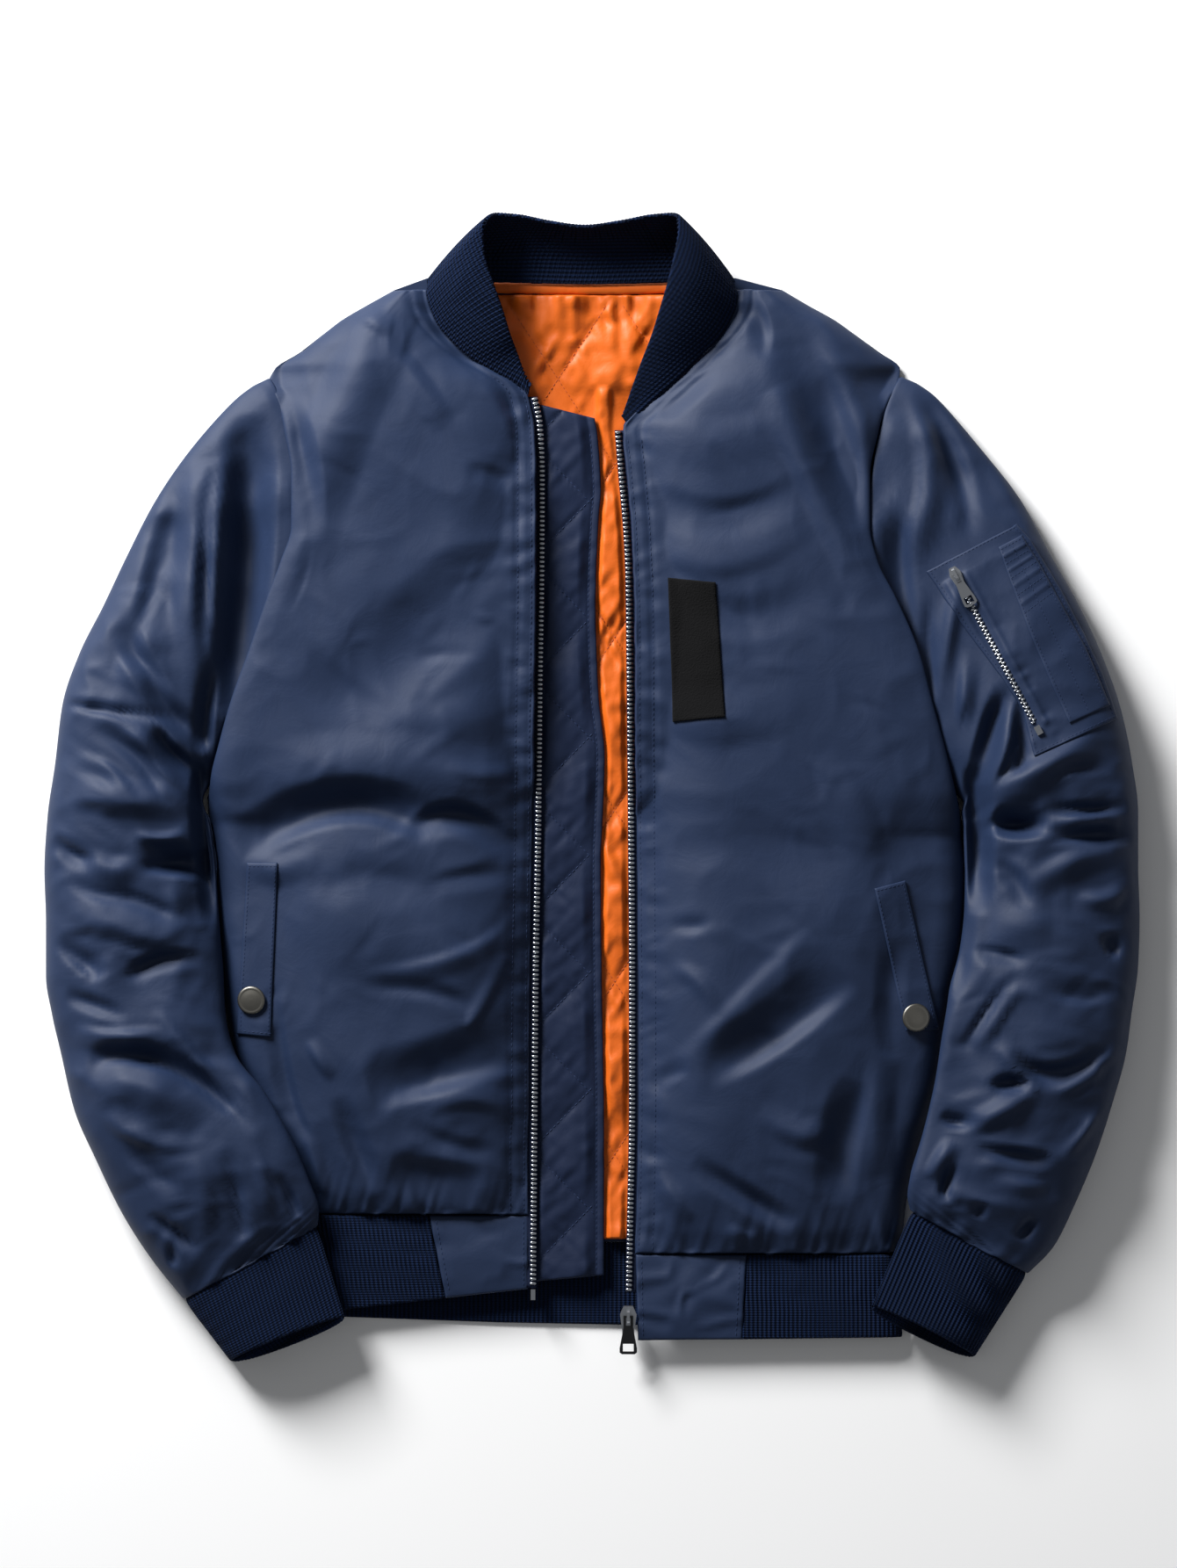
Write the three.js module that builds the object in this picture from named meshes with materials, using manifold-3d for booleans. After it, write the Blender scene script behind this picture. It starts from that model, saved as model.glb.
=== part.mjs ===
// Bomber jacket, laid flat on its back with the front open a hand's width.
// Millimetres. +X is the wearer's left, +Y points to the collar, +Z is up from the surface.
// The origin is on the surface, midway across the jacket.
import * as THREE from "three";
import { mergeVertices } from "three/addons/utils/BufferGeometryUtils.js";
import Module from "manifold-3d";

const solids = await Module();
solids.setup();
const { Manifold, Mesh: ClosedMesh } = solids;

// Cloth thicknesses and the gap kept at every seam
const SHELL = 3;
const KNIT = 2.5;
const LINING = 2;
const GAP = 0.3;

// Back panel and the layers that lie on it
const BACK_TOP = 337;
const BACK_HEM = -301;
const HEM_LOW = -355;
const LINING_BASE = SHELL + GAP;
const LINING_PUFF = 2.4;
const LINING_TOP = 325.7;
const LINING_END = -299;
const LINING_CORNER = 24;
const LINING_STRIP = { x: 15, half: 28 };
const LINING_NECK = { x: -1, half: 76, from: 205, to: 310 };
const FLAP_BASE = LINING_BASE + LINING + LINING_PUFF + GAP;
const FLAP_PUFF = 1.4;

// Roll of the body's side folds, and how far a front's height falls towards its zip
const SIDE_ROLL = 20;
const SIDE_LIP = 17;
const ZIP_FALL = 60;
const HEM_ROLL = 19;
const HEM_CROWN = 13;
const HEM_SWELL = 1.5;

// Grid sizes of the cloth
const FRONT_ROWS = 34;
const FRONT_TOP_ROWS = 7;
const FRONT_ACROSS = 14;
const SLEEVE_RINGS = 28;
const SLEEVE_ROUND = 22;
const CUFF_RINGS = 5;
const LINING_ROWS = 46;
const LINING_ACROSS = 8;
const FLAP_ROWS = 44;
const FLAP_ACROSS = 5;

// Quilting: diamond width and height of the lining and of the wind flap
const LINING_DIAMOND = { wide: 75, high: 114, x: 15, y: 213 };
const FLAP_DIAMOND = { wide: 76, high: 78, x: -2, y: 189 };

/** Rows of numbers with named columns. */
function table(columns, rows) {
  return rows.map((row) => Object.fromEntries(columns.map((name, i) => [name, row[i]])));
}

/** Front panel: height on the body, side edge, front edge, and heights of edge, crown and front edge. */
const FRONT_COLUMNS = ["y", "side", "front", "edge", "crown", "rim"];
const FRONT_RIGHT = table(FRONT_COLUMNS, [
  [329, -131, -109, 3.3, 14, 12],
  [319, -149, -107, 3.3, 17, 12],
  [309, -166, -103, 3.3, 20, 12],
  [299, -179, -95, 3.3, 22, 12],
  [288, -193, -83, 3.3, 24, 12],
  [277, -210, -65, 3.3, 26, 13],
  [266, -215, -47, 8, 28, 14],
  [259, -210, -42, 13, 29, 15],
  [236, -204, -38, 18, 31, 15],
  [206, -199, -37, 23, 32, 15],
  [172, -199, -37, 26, 33, 15],
  [149, -206, -37, 27, 34, 15],
  [125, -215, -37, 27.5, 34, 15],
  [90, -227, -37.5, 27.5, 35, 15],
  [56, -239, -38, 27, 36, 15],
  [27, -247, -38.5, 25, 36, 15],
  [6, -252, -38.5, 21, 36, 15],
  [-11, -253.5, -39, 11, 35, 15],
  [-26, -253, -39, 3.3, 34, 15],
  [-60, -250, -39.5, 3.3, 36, 15],
  [-118, -246, -40.5, 3.3, 37, 15],
  [-176, -238, -41, 3.3, 36, 15],
  [-205, -224, -41, 3.3, 34, 15],
  [-240, -204, -42, 3.3, 30, 15],
  [-263, -193, -42, 3.3, 25, 15],
  [-275, -188.5, -42, 3.3, 20, 15],
  [-282.5, -187, -42, 3.3, 16, 15],
]);
const FRONT_LEFT = table(FRONT_COLUMNS, [
  [329, 126, 95, 3.3, 14, 12],
  [319, 143, 94, 3.3, 17, 12],
  [309, 161, 90, 3.3, 20, 12],
  [299, 175, 83, 3.3, 22, 12],
  [288, 190, 72, 3.3, 24, 12],
  [277, 204, 61, 3.3, 26, 12],
  [266, 203, 48, 8, 28, 12],
  [259, 198, 40, 13, 29, 12],
  [247, 193, 28, 16, 30, 12],
  [236, 190, 20.5, 18, 31, 12],
  [206, 184, 23, 22, 32, 12],
  [172, 184, 26, 25, 33, 12],
  [149, 189, 27, 27, 34, 12],
  [125, 201, 28, 28.5, 34, 12],
  [90, 216, 28.5, 29, 35, 12],
  [56, 225, 28.5, 28.5, 36, 12],
  [27, 233, 28.5, 26, 36, 12],
  [-2, 240, 29, 22, 36, 12],
  [-20, 244, 29, 12, 35, 12],
  [-34, 246.5, 29, 3.3, 34, 12],
  [-66, 248, 29.5, 3.3, 36, 12],
  [-95, 246, 29.5, 3.3, 37, 12],
  [-130, 241, 30, 3.3, 37, 12],
  [-176, 234, 30, 3.3, 36, 12],
  [-211, 225, 30, 3.3, 34, 12],
  [-246, 215, 29.5, 3.3, 31, 12],
  [-275, 208, 29, 3.3, 27, 12],
  [-292, 206, 28.5, 3.3, 23, 12],
  [-301, 205, 28, 3.3, 19, 12],
  [-308.5, 204.5, 28, 3.3, 16, 12],
]);

/**
 * Sleeve rings from armhole to cuff: outer and inner ends on the plan, how far the ring bows to the body,
 * its top, how full its shoulder is (smaller is fuller), the heights of its two ends, and how far its
 * inner underside is lifted by the body that it lies on.
 */
const RING_COLUMNS = ["outX", "outY", "inX", "inY", "bow", "top", "full", "rimIn", "rimOut", "lift"];
const SLEEVE_RIGHT = table(RING_COLUMNS, [
  [-216, 271, -239, 34, 31, 20, 1.7, 8, 4, 0],
  [-233, 259, -241, 26, 26, 24, 1.3, 9, 6, 0],
  [-265, 224, -245, 16, 15, 29, 1.05, 9, 9, 0],
  [-289, 189, -249, 8, 8, 34, 0.95, 9, 10, 0],
  [-307, 154, -253, 1, 4, 38, 0.9, 10, 11, 0],
  [-323, 120, -257, -7, 0, 41, 0.85, 11, 12, 0],
  [-339, 88, -258, -15, 0, 43, 0.8, 12, 12, 0],
  [-350, 55, -256, -23, 0, 44, 0.8, 13, 12, 0],
  [-355, 15, -254.5, -31, 0, 44, 0.75, 14, 12, 0],
  [-360, -20, -253, -43, 0, 43, 0.75, 14, 12, 0],
  [-362, -55, -251.5, -57, 0, 42, 0.75, 14, 12, 0],
  [-361, -89, -249.5, -84, 0, 42, 0.75, 15, 12, 0],
  [-361, -124, -247, -115, 0, 43, 0.75, 16, 12, 4],
  [-357, -150, -243, -147, 0, 44, 0.75, 20, 12, 10],
  [-351, -176, -235, -176, 0, 45, 0.75, 26, 12, 17],
  [-342, -214, -215, -202, 0, 46, 0.75, 32, 12, 24],
  [-328, -246, -197, -234, 0, 45, 0.75, 32, 12, 24],
  [-311, -281, -186, -260, 0, 42, 0.75, 31, 12, 24],
  [-292, -311, -180, -278, 0, 37, 0.75, 28, 11, 21],
  [-270, -339, -181, -290, 0, 31, 0.75, 25, 9, 18],
]);
const SLEEVE_LEFT = table(RING_COLUMNS, [
  [207, 272, 227, 24, 31, 20, 1.7, 8, 4, 0],
  [224, 261, 229, 16, 27, 24, 1.3, 9, 6, 0],
  [257, 224, 232, 8, 15, 29, 1.05, 9, 9, 0],
  [284, 189, 237, 1, 8, 34, 0.95, 9, 10, 0],
  [303, 154, 241, -5, 4, 38, 0.9, 10, 11, 0],
  [322, 120, 245, -10, 0, 41, 0.85, 11, 12, 0],
  [338, 85, 246.5, -15, 0, 43, 0.8, 12, 12, 0],
  [350, 50, 247.5, -20, 0, 44, 0.8, 13, 12, 0],
  [357, 16, 248.5, -27, 0, 44, 0.75, 14, 12, 0],
  [361, -17, 249, -37, 0, 43, 0.75, 14, 12, 0],
  [361, -52, 249.5, -54, 0, 42, 0.75, 14, 12, 0],
  [362, -86, 249, -79, 0, 42, 0.75, 15, 12, 2],
  [361, -118, 246, -106, 0, 43, 0.75, 18, 12, 8],
  [357, -147, 236, -136, 0, 44, 0.75, 26, 12, 17],
  [353, -176, 231, -162, 0, 45, 0.75, 30, 12, 21],
  [344, -209, 226, -194, 0, 45, 0.75, 30, 12, 21],
  [334, -240, 218, -228, 0, 44, 0.75, 30, 12, 21],
  [320, -274, 210, -255, 0, 42, 0.75, 30, 12, 21],
  [305, -304, 208, -269, 0, 37, 0.75, 28, 11, 20],
  [288, -322, 210, -280, 0, 31, 0.75, 25, 9, 18],
]);

/** Cuff rings: the wrist seam and the open end. */
const CUFF_RIGHT = table(RING_COLUMNS, [
  [-269, -340.5, -181, -291, 0, 30, 0.75, 25, 9, 18],
  [-239, -380, -163, -350, 0, 31, 0.75, 26, 7, 22],
]);
const CUFF_LEFT = table(RING_COLUMNS, [
  [287, -323.5, 210, -281.5, 0, 30, 0.75, 25, 9, 18],
  [253, -377, 184, -343, 0, 32, 0.75, 28, 7, 25],
]);
const CUFF_LIPS = { under: 5, over: 3.5 };

/**
 * Largest folds: start, middle and end on the plan, half width, and height at the middle of the fold.
 * A negative height is a trough.
 */
const FOLD_COLUMNS = ["x0", "y0", "x1", "y1", "x2", "y2", "wide", "high"];
const FOLDS_FRONT_RIGHT = table(FOLD_COLUMNS, [
  [-217, -5, -130, 2, -49, -23, 24, 5],
  [-202, -34, -130, -24, -48, -46, 16, -8],
  [-205, -84, -142, -89, -66, -130, 40, 4],
  [-147, -202, -101, -189, -50, -173, 22, -8],
  [-133, -250, -107, -256, -70, -260, 18, -5],
  [-168, -205, -156, -236, -143, -268, 11, -4],
  [-130, 312, -165, 250, -200, 147, 26, 5],
  [-204, 252, -190, 212, -188, 163, 18, -5],
]);
const FOLDS_FRONT_LEFT = table(FOLD_COLUMNS, [
  [118, 318, 155, 247, 180, 150, 27, -7],
  [118, 262, 146, 205, 186, 120, 20, 4],
  [169, -123, 122, -162, 73, -189, 20, -7],
  [147, -84, 102, -136, 64, -183, 20, 4],
  [67, -247, 105, -272, 134, -289, 10, -5],
  [175, -194, 166, -234, 163, -275, 16, -5],
  [32, 172, 85, 148, 148, 180, 14, 3],
  [38, 195, 90, 177, 143, 204, 12, -3],
]);
const FOLDS_SLEEVE_RIGHT = table(FOLD_COLUMNS, [
  [-224, 246, -226, 140, -236, 50, 17, -13],
  [-238, 230, -244, 120, -246, 30, 11, 5],
  [-256, 214, -264, 130, -254, 40, 12, 5],
  [-268, 196, -284, 140, -292, 96, 20, -6],
  [-309, 108, -284, 60, -252, 26, 13, -8],
  [-288, 36, -274, 22, -258, 6, 14, -9],
  [-350, 0, -300, -6, -262, -12, 18, 4],
  [-296, -50, -272, -54, -254, -66, 15, -10],
  [-346, -86, -308, -94, -262, -104, 18, 4],
  [-305, -130, -280, -114, -256, -112, 10, -5],
  [-332, -184, -286, -186, -220, -226, 13, -8],
  [-240, -240, -232, -270, -228, -296, 8, -5],
]);
const FOLDS_SLEEVE_LEFT = table(FOLD_COLUMNS, [
  [214, 262, 238, 220, 250, 164, 10, -5],
  [212, 262, 222, 200, 206, 152, 12, 4],
  [206, 180, 203, 150, 212, 90, 13, -7],
  [272, 62, 262, 34, 254, 4, 11, -7],
  [276, 54, 274, 24, 260, -2, 10, 5],
  [262, -13, 282, -18, 300, -15, 13, -11],
  [302, -13, 326, -16, 352, -12, 10, -5],
  [286, -68, 318, -50, 354, -40, 14, 4],
  [285, -116, 264, -144, 244, -172, 9, -5],
  [278, -174, 300, -188, 340, -172, 13, -6],
  [262, -198, 276, -194, 288, -200, 10, -6],
  [254, -238, 278, -242, 304, -244, 10, -5],
]);

/**
 * Collar from the right front end round the back to the left front end: its seam, its free edge, and how
 * far its middle is pushed up and out between them.
 */
const COLLAR_COLUMNS = ["baseX", "baseY", "baseZ", "freeX", "freeY", "freeZ", "midY", "midZ"];
const COLLAR = table(COLLAR_COLUMNS, [
  [-40, 261, 15, -42, 265, 16.5, 0, 0],
  [-45, 266, 14.5, -44, 271, 18, 0, 0.5],
  [-63, 276, 14, -49, 286, 22, 0, 1.5],
  [-81, 287, 13, -54, 299, 29, 0, 3],
  [-93, 298, 12.5, -59, 315, 35, 0, 4],
  [-101, 308, 12, -65, 332, 39, 0, 5],
  [-106, 320, 12, -71, 352, 42, 0, 6],
  [-109, 331, 11, -72, 368, 43, 0, 6],
  [-110, 338, 9, -68, 377, 40, 2, 2],
  [-101, 339, 6, -62, 379, 36, 2, -7],
  [-78, 338, 5, -48, 378, 35, 3, -7],
  [-43, 337, 5, -28, 374, 35, 5, -6],
  [-5, 336, 5, -5, 371, 35, 6, -6],
  [32, 337, 5, 18, 374, 35, 5, -6],
  [64, 338, 5, 39, 378, 35, 3, -7],
  [86, 339, 6, 52, 379, 36, 2, -7],
  [95, 338, 9, 57, 377, 40, 2, 2],
  [95, 331, 11, 57, 367, 43, 0, 6],
  [94, 320, 12, 54, 350, 42, 0, 6],
  [90, 310, 12, 50, 333, 39, 0, 5],
  [83, 299, 12.5, 45, 316, 35, 0, 4],
  [71, 287, 13, 39, 297, 29, 0, 3],
  [57, 273, 14.2, 32, 279, 23, 0, 1.5],
  [38, 256, 13.8, 25, 259, 18.4, 0, 0.5],
  [22, 240, 13.8, 20, 244, 15.8, 0, 0],
]);
const COLLAR_STEPS = 5;

/** Middle line of each row of zip teeth, seen from above, and the height of its underside. */
const ZIP_RIGHT = table(["x", "y", "z"], [
  [-38.2, 258, 12.5], [-34.6, 240, 12.5], [-33.2, 206, 12.5], [-33.4, 149, 12.5], [-34.6, 67, 12.5],
  [-35.6, -31, 12.5], [-37.2, -118, 12.5], [-38.2, -240, 12.5], [-38.6, -283, 12.5], [-39, -331, 12.5],
]);
const ZIP_LEFT = table(["x", "y", "z"], [
  [17.2, 236, 9.5], [19.6, 206, 9.5], [22.6, 172, 9.5], [24.2, 140, 9.5], [25.2, 56, 9.5],
  [25.9, -20, 9.5], [26.6, -130, 9.5], [26.6, -211, 9.5], [25.2, -292, 9.5], [24.4, -334, 9.5],
]);
const TEETH = { wide: 4.6, tall: 2.5 };

/** Free edge of the wind flap, and how far the flap reaches behind the teeth. */
const FLAP_EDGE = table(["x", "y"], [
  [1, 247], [3.5, 235], [6, 195], [4.5, 177], [2.5, 119], [4.5, 61], [8.5, 21], [7.5, -14],
  [6, -49], [6.5, -124], [8, -217], [8, -325],
]);
const FLAP_ENDS = { top: [256, 244], low: [-328, -323] };
const FLAP_BEHIND = 9;

/** Hem band: side edge and front edge at its seam and at its free edge, right and left. */
const HEM_RIGHT = { top: -283, side: [-187, -176], front: [-42, -42.5], low: [-347, -332] };
const HEM_LEFT = { top: -309, side: [204.5, 206], front: [29, 30.4], low: [-364, -366] };
const TAB_EDGE_RIGHT = [-108, -97];
const TAB_EDGE_LEFT = [102.5, 99.5];

/** Slanted pocket welts and the plain loop patch: corners on the plan, and how thick they are. */
const WELT_RIGHT = { corners: [[-227.5, -50], [-207, -50], [-212, -165], [-234, -163]], thick: 1.6 };
const WELT_LEFT = { corners: [[186, -67], [206.5, -61.5], [229, -160], [207, -161]], thick: 1.6 };
const PATCH = { corners: [[50, 138], [81.5, 135], [87.5, 46], [53.5, 43]], thick: 1.4 };
const SNAP = { radius: 9.3, tall: 3, dome: 1, flange: 1.2, seat: 0.9 };
const SNAP_RIGHT = [-224.5, -140.5];
const SNAP_LEFT = [213.5, -152];

/** Utility pocket on the left sleeve: left and right outline of the panel from top to bottom. */
const POCKET_PANEL = {
  left: [[220.5, 142], [228, 131.5], [246, 104], [269, 73], [284, 50], [291, 20]],
  right: [[280, 173], [289, 163], [309, 130], [324, 101], [336, 75], [346, 45]],
  thick: 1.3,
  across: 6,
};
const PEN_SLOT = {
  left: [[268, 158], [276, 134], [287, 104], [303, 66], [314, 42]],
  right: [[283, 166], [295, 147], [309, 121], [325, 92], [341, 54]],
  thick: 1,
  across: 3,
};
const POCKET_ZIP = { from: [244, 131], to: [291, 42], wide: 4.4, thick: 1.2 };
const END_STOP = { x: 293.5, y: 37.5, long: 4, wide: 6, tall: 1.8 };
const ZIP_BOX = { x: 24, y: -360.8, z: 9.2, long: 7, wide: 8, tall: 3.4 };
const ZIP_PIN = { x: -39, y: -335.5, z: 12.6, long: 7, wide: 3, tall: 2.2 };
const APPLIED_LIFT = 0.45;

// Pull tabs and sliders: one design in two sizes
const MAIN_SLIDER = { x: 24, y: -350, z: 8.8, long: 14, wide: 11, tall: 6, turn: -Math.PI / 2 };
const MAIN_TAB = { long: 25, wide: 11.5, neck: 6.4, slot: 0.62, slope: 0.12 };
const POCKET_SLIDER = { x: 240, y: 139.5, long: 11, wide: 8, tall: 3.6, turn: -1.08 };
const POCKET_TAB = { long: 23, wide: 9, neck: 6, slot: 0.62, slope: 0.1 };
const BRIDGE = { wide: 2, bar: 1.1, inner: 3.2, span: 8, sunk: 1 };
const TAB_PLATE = 1.2;
const CROSSBAR_HEIGHT = 1.9;

/** Smooth curve through one column of a table: no overshoot between its rows. */
function through(rows, key, column) {
  const k = rows.map((row, i) => (key === null ? i : row[key]));
  const c = rows.map((row) => row[column]);
  const last = k.length - 1;
  const secant = (i) => (c[i + 1] - c[i]) / (k[i + 1] - k[i]);
  const slope = c.map((_, i) => {
    if (i === 0 || i === last) return secant(i === 0 ? 0 : last - 1);
    const a = secant(i - 1);
    const b = secant(i);
    return a * b <= 0 ? 0 : (2 * a * b) / (a + b);
  });
  const falling = k[last] < k[0];
  return (at) => {
    let i = 0;
    while (i < last - 1 && (falling ? at < k[i + 1] : at > k[i + 1])) i += 1;
    const span = k[i + 1] - k[i];
    const t = Math.min(1, Math.max(0, (at - k[i]) / span));
    const t2 = t * t;
    const t3 = t2 * t;
    return (2 * t3 - 3 * t2 + 1) * c[i] + (t3 - 2 * t2 + t) * span * slope[i]
      + (3 * t2 - 2 * t3) * c[i + 1] + (t3 - t2) * span * slope[i + 1];
  };
}

/** Every column of a table as a smooth curve, read together. */
function tracks(rows, key) {
  const names = Object.keys(rows[0]).filter((name) => name !== key);
  const curves = names.map((name) => through(rows, key, name));
  return (at) => Object.fromEntries(names.map((name, i) => [name, curves[i](at)]));
}

const clamp01 = (t) => Math.min(1, Math.max(0, t));
const smooth = (t) => clamp01(t) ** 2 * (3 - 2 * clamp01(t));
const mix = (a, b, t) => a + (b - a) * t;
const roll = (t) => Math.sqrt(1 - (1 - clamp01(t)) ** 2);

/** Height that a list of folds adds at a place on the plan. */
function folding(rows) {
  const steps = 8;
  const lines = rows.map((row) => {
    const bendX = 2 * row.x1 - (row.x0 + row.x2) / 2;
    const bendY = 2 * row.y1 - (row.y0 + row.y2) / 2;
    return Array.from({ length: steps + 1 }, (_, i) => {
      const t = i / steps;
      const a = (1 - t) ** 2;
      const b = 2 * t * (1 - t);
      const c = t * t;
      return [a * row.x0 + b * bendX + c * row.x2, a * row.y0 + b * bendY + c * row.y2];
    });
  });
  return (x, y) => rows.reduce((sum, row, r) => {
    let best = Infinity;
    let along = 0;
    for (let i = 0; i < steps; i += 1) {
      const [ax, ay] = lines[r][i];
      const [bx, by] = lines[r][i + 1];
      const length = (bx - ax) ** 2 + (by - ay) ** 2;
      const t = clamp01(((x - ax) * (bx - ax) + (y - ay) * (by - ay)) / length);
      const away = Math.hypot(x - ax - t * (bx - ax), y - ay - t * (by - ay));
      if (away < best) {
        best = away;
        along = (i + t) / steps;
      }
    }
    if (best >= row.wide) return sum;
    return sum + row.high * (1 - (best / row.wide) ** 2) ** 2 * Math.sin(Math.PI * along) ** 0.6;
  }, 0);
}

/** A mesh from points and triangles, turned so that its faces point out. */
function solid(name, points, faces, finish) {
  let volume = 0;
  for (const [a, b, c] of faces) volume += points[a].dot(points[b].clone().cross(points[c]));
  const index = volume < 0 ? faces.map(([a, b, c]) => [a, c, b]) : faces;
  const geometry = new THREE.BufferGeometry();
  geometry.setAttribute("position", new THREE.Float32BufferAttribute(points.flatMap((p) => p.toArray()), 3));
  geometry.setIndex(index.flat());
  geometry.computeVertexNormals();
  return named(name, geometry, finish);
}

function named(name, geometry, finish) {
  const mesh = new THREE.Mesh(geometry, finish.clone());
  mesh.name = name;
  return mesh;
}

/** Unit normals of a grid, pointing up on a panel and away from the middle on a tube. */
function gridNormals(grid, ring) {
  const rows = grid.length;
  const columns = grid[0].length;
  const wrap = (j) => (ring ? (j + columns) % columns : Math.min(columns - 1, Math.max(0, j)));
  const normals = grid.map((row, i) => row.map((_, j) => {
    const along = grid[Math.min(rows - 1, i + 1)][j].clone().sub(grid[Math.max(0, i - 1)][j]);
    const across = row[wrap(j + 1)].clone().sub(row[wrap(j - 1)]);
    return across.cross(along).normalize();
  }));
  let sign = 0;
  grid.forEach((row, i) => {
    const middle = row.reduce((sum, p) => sum.add(p), new THREE.Vector3()).divideScalar(columns);
    row.forEach((p, j) => {
      sign += ring ? normals[i][j].dot(p.clone().sub(middle)) : normals[i][j].z;
    });
  });
  if (sign < 0) normals.forEach((row) => row.forEach((n) => n.negate()));
  return normals;
}

/**
 * Closed wall of cloth between an outer grid and an inner one, `thick` below it and no lower than `floor`.
 */
function wall(name, outer, thick, finish, { ring = false, inner = null, valleys = false, floor = 0 } = {}) {
  const rows = outer.length;
  const columns = outer[0].length;
  const normals = gridNormals(outer, ring);
  const under = inner ?? outer.map((row, i) => row.map((p, j) => {
    const q = p.clone().addScaledVector(normals[i][j], -thick);
    return q.setZ(Math.max(floor, q.z));
  }));
  const points = [...outer.flat(), ...under.flat()];
  const top = (i, j) => i * columns + (j % columns);
  const low = (i, j) => rows * columns + top(i, j);
  const faces = [];
  const spans = ring ? columns : columns - 1;
  for (let i = 0; i < rows - 1; i += 1) {
    for (let j = 0; j < spans; j += 1) {
      const [a, b, c, d] = [[i, j], [i, j + 1], [i + 1, j + 1], [i + 1, j]];
      const rise = (p, q) => points[top(...p)].z + points[top(...q)].z;
      const cross = valleys && rise(a, c) > rise(b, d);
      const halves = cross ? [[a, b, d], [b, c, d]] : [[a, b, c], [a, c, d]];
      for (const [p, q, r] of halves) {
        faces.push([top(...p), top(...q), top(...r)], [low(...p), low(...r), low(...q)]);
      }
    }
  }
  const rim = (p, q) => faces.push([top(...q), top(...p), low(...p)], [top(...q), low(...p), low(...q)]);
  for (let j = 0; j < spans; j += 1) {
    rim([0, j], [0, j + 1]);
    rim([rows - 1, j + 1], [rows - 1, j]);
  }
  if (!ring) {
    for (let i = 0; i < rows - 1; i += 1) {
      rim([i + 1, 0], [i, 0]);
      rim([i, columns - 1], [i + 1, columns - 1]);
    }
  }
  return solid(name, points, faces, finish);
}

/** Grid of points from a function of two parameters that run from 0 to 1. */
function lay(rows, columns, place) {
  return Array.from({ length: rows + 1 }, (_, i) =>
    Array.from({ length: columns + 1 }, (_, j) => place(i / rows, j / columns)));
}

/** Highest point of a grid, and its normal there, above a place on the plan. */
function faceOf(grid) {
  const corner = new THREE.Vector3();
  return (x, y) => {
    let found = null;
    for (let i = 0; i < grid.length - 1; i += 1) {
      for (let j = 0; j < grid[0].length - 1; j += 1) {
        const [a, b, c, d] = [grid[i][j], grid[i][j + 1], grid[i + 1][j + 1], grid[i + 1][j]];
        for (const [p, q, r] of [[a, b, c], [a, c, d]]) {
          const area = (q.x - p.x) * (r.y - p.y) - (r.x - p.x) * (q.y - p.y);
          if (Math.abs(area) < 1e-6) continue;
          const s = ((x - p.x) * (r.y - p.y) - (r.x - p.x) * (y - p.y)) / area;
          const t = ((q.x - p.x) * (y - p.y) - (x - p.x) * (q.y - p.y)) / area;
          if (s < -1e-6 || t < -1e-6 || s + t > 1 + 1e-6) continue;
          const z = p.z + s * (q.z - p.z) + t * (r.z - p.z);
          if (found && found.point.z >= z) continue;
          const normal = corner.clone().subVectors(q, p).cross(corner.clone().subVectors(r, p)).normalize();
          if (normal.z < 0) normal.negate();
          found = { point: new THREE.Vector3(x, y, z), normal };
        }
      }
    }
    if (!found) throw new Error(`no cloth above ${x}, ${y}`);
    return found;
  };
}

/** Raises a grid's points until each of its facets clears a face by `lift`. */
function clearOf(grid, face, lift) {
  const shares = [[1, 0, 0], [0.5, 0.5, 0], [0.5, 0, 0.5], [0, 0.5, 0.5], [0.34, 0.33, 0.33]];
  for (let pass = 0; pass < 4; pass += 1) {
    for (let i = 0; i < grid.length - 1; i += 1) {
      for (let j = 0; j < grid[0].length - 1; j += 1) {
        const [a, b, c, d] = [grid[i][j], grid[i][j + 1], grid[i + 1][j + 1], grid[i + 1][j]];
        for (const [p, q, r] of [[a, b, c], [a, c, d]]) {
          for (const [s, t, w] of shares) {
            const { point, normal } = face(s * p.x + t * q.x + w * r.x, s * p.y + t * q.y + w * r.y);
            const short = point.z + lift / Math.max(0.5, normal.z) - (s * p.z + t * q.z + w * r.z);
            if (short <= 0) continue;
            p.z += short * s;
            q.z += short * t;
            r.z += short * w;
          }
        }
      }
    }
  }
  return grid;
}

/** Piece of cloth that lies on a face: its points are the face's, moved out. */
function appliedGrids(face, plan, thick, rows, columns) {
  const points = lay(rows, columns, plan).map((line) => line.map(([x, y]) => face(x, y).point));
  const inner = clearOf(points, face, APPLIED_LIFT);
  const normals = gridNormals(inner, false);
  const outer = inner.map((row, i) => row.map((p, j) => p.clone().addScaledVector(normals[i][j], thick)));
  return { inner, outer };
}

function applied(name, face, plan, thick, rows, columns, finish) {
  const { inner, outer } = appliedGrids(face, plan, thick, rows, columns);
  return wall(name, outer, thick, finish, { inner });
}

/** Place inside four corners. */
function inCorners([a, b, c, d]) {
  return (v, u) => [0, 1].map((k) => mix(mix(a[k], b[k], u), mix(d[k], c[k], u), v));
}

/** Place between two outlines with as many points each. */
function between(left, right) {
  const along = (line, v) => {
    const at = v * (line.length - 1);
    const i = Math.min(line.length - 2, Math.floor(at));
    return [0, 1].map((k) => mix(line[i][k], line[i + 1][k], at - i));
  };
  return (v, u) => {
    const l = along(left, v);
    const r = along(right, v);
    return [0, 1].map((k) => mix(l[k], r[k], u));
  };
}

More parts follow.
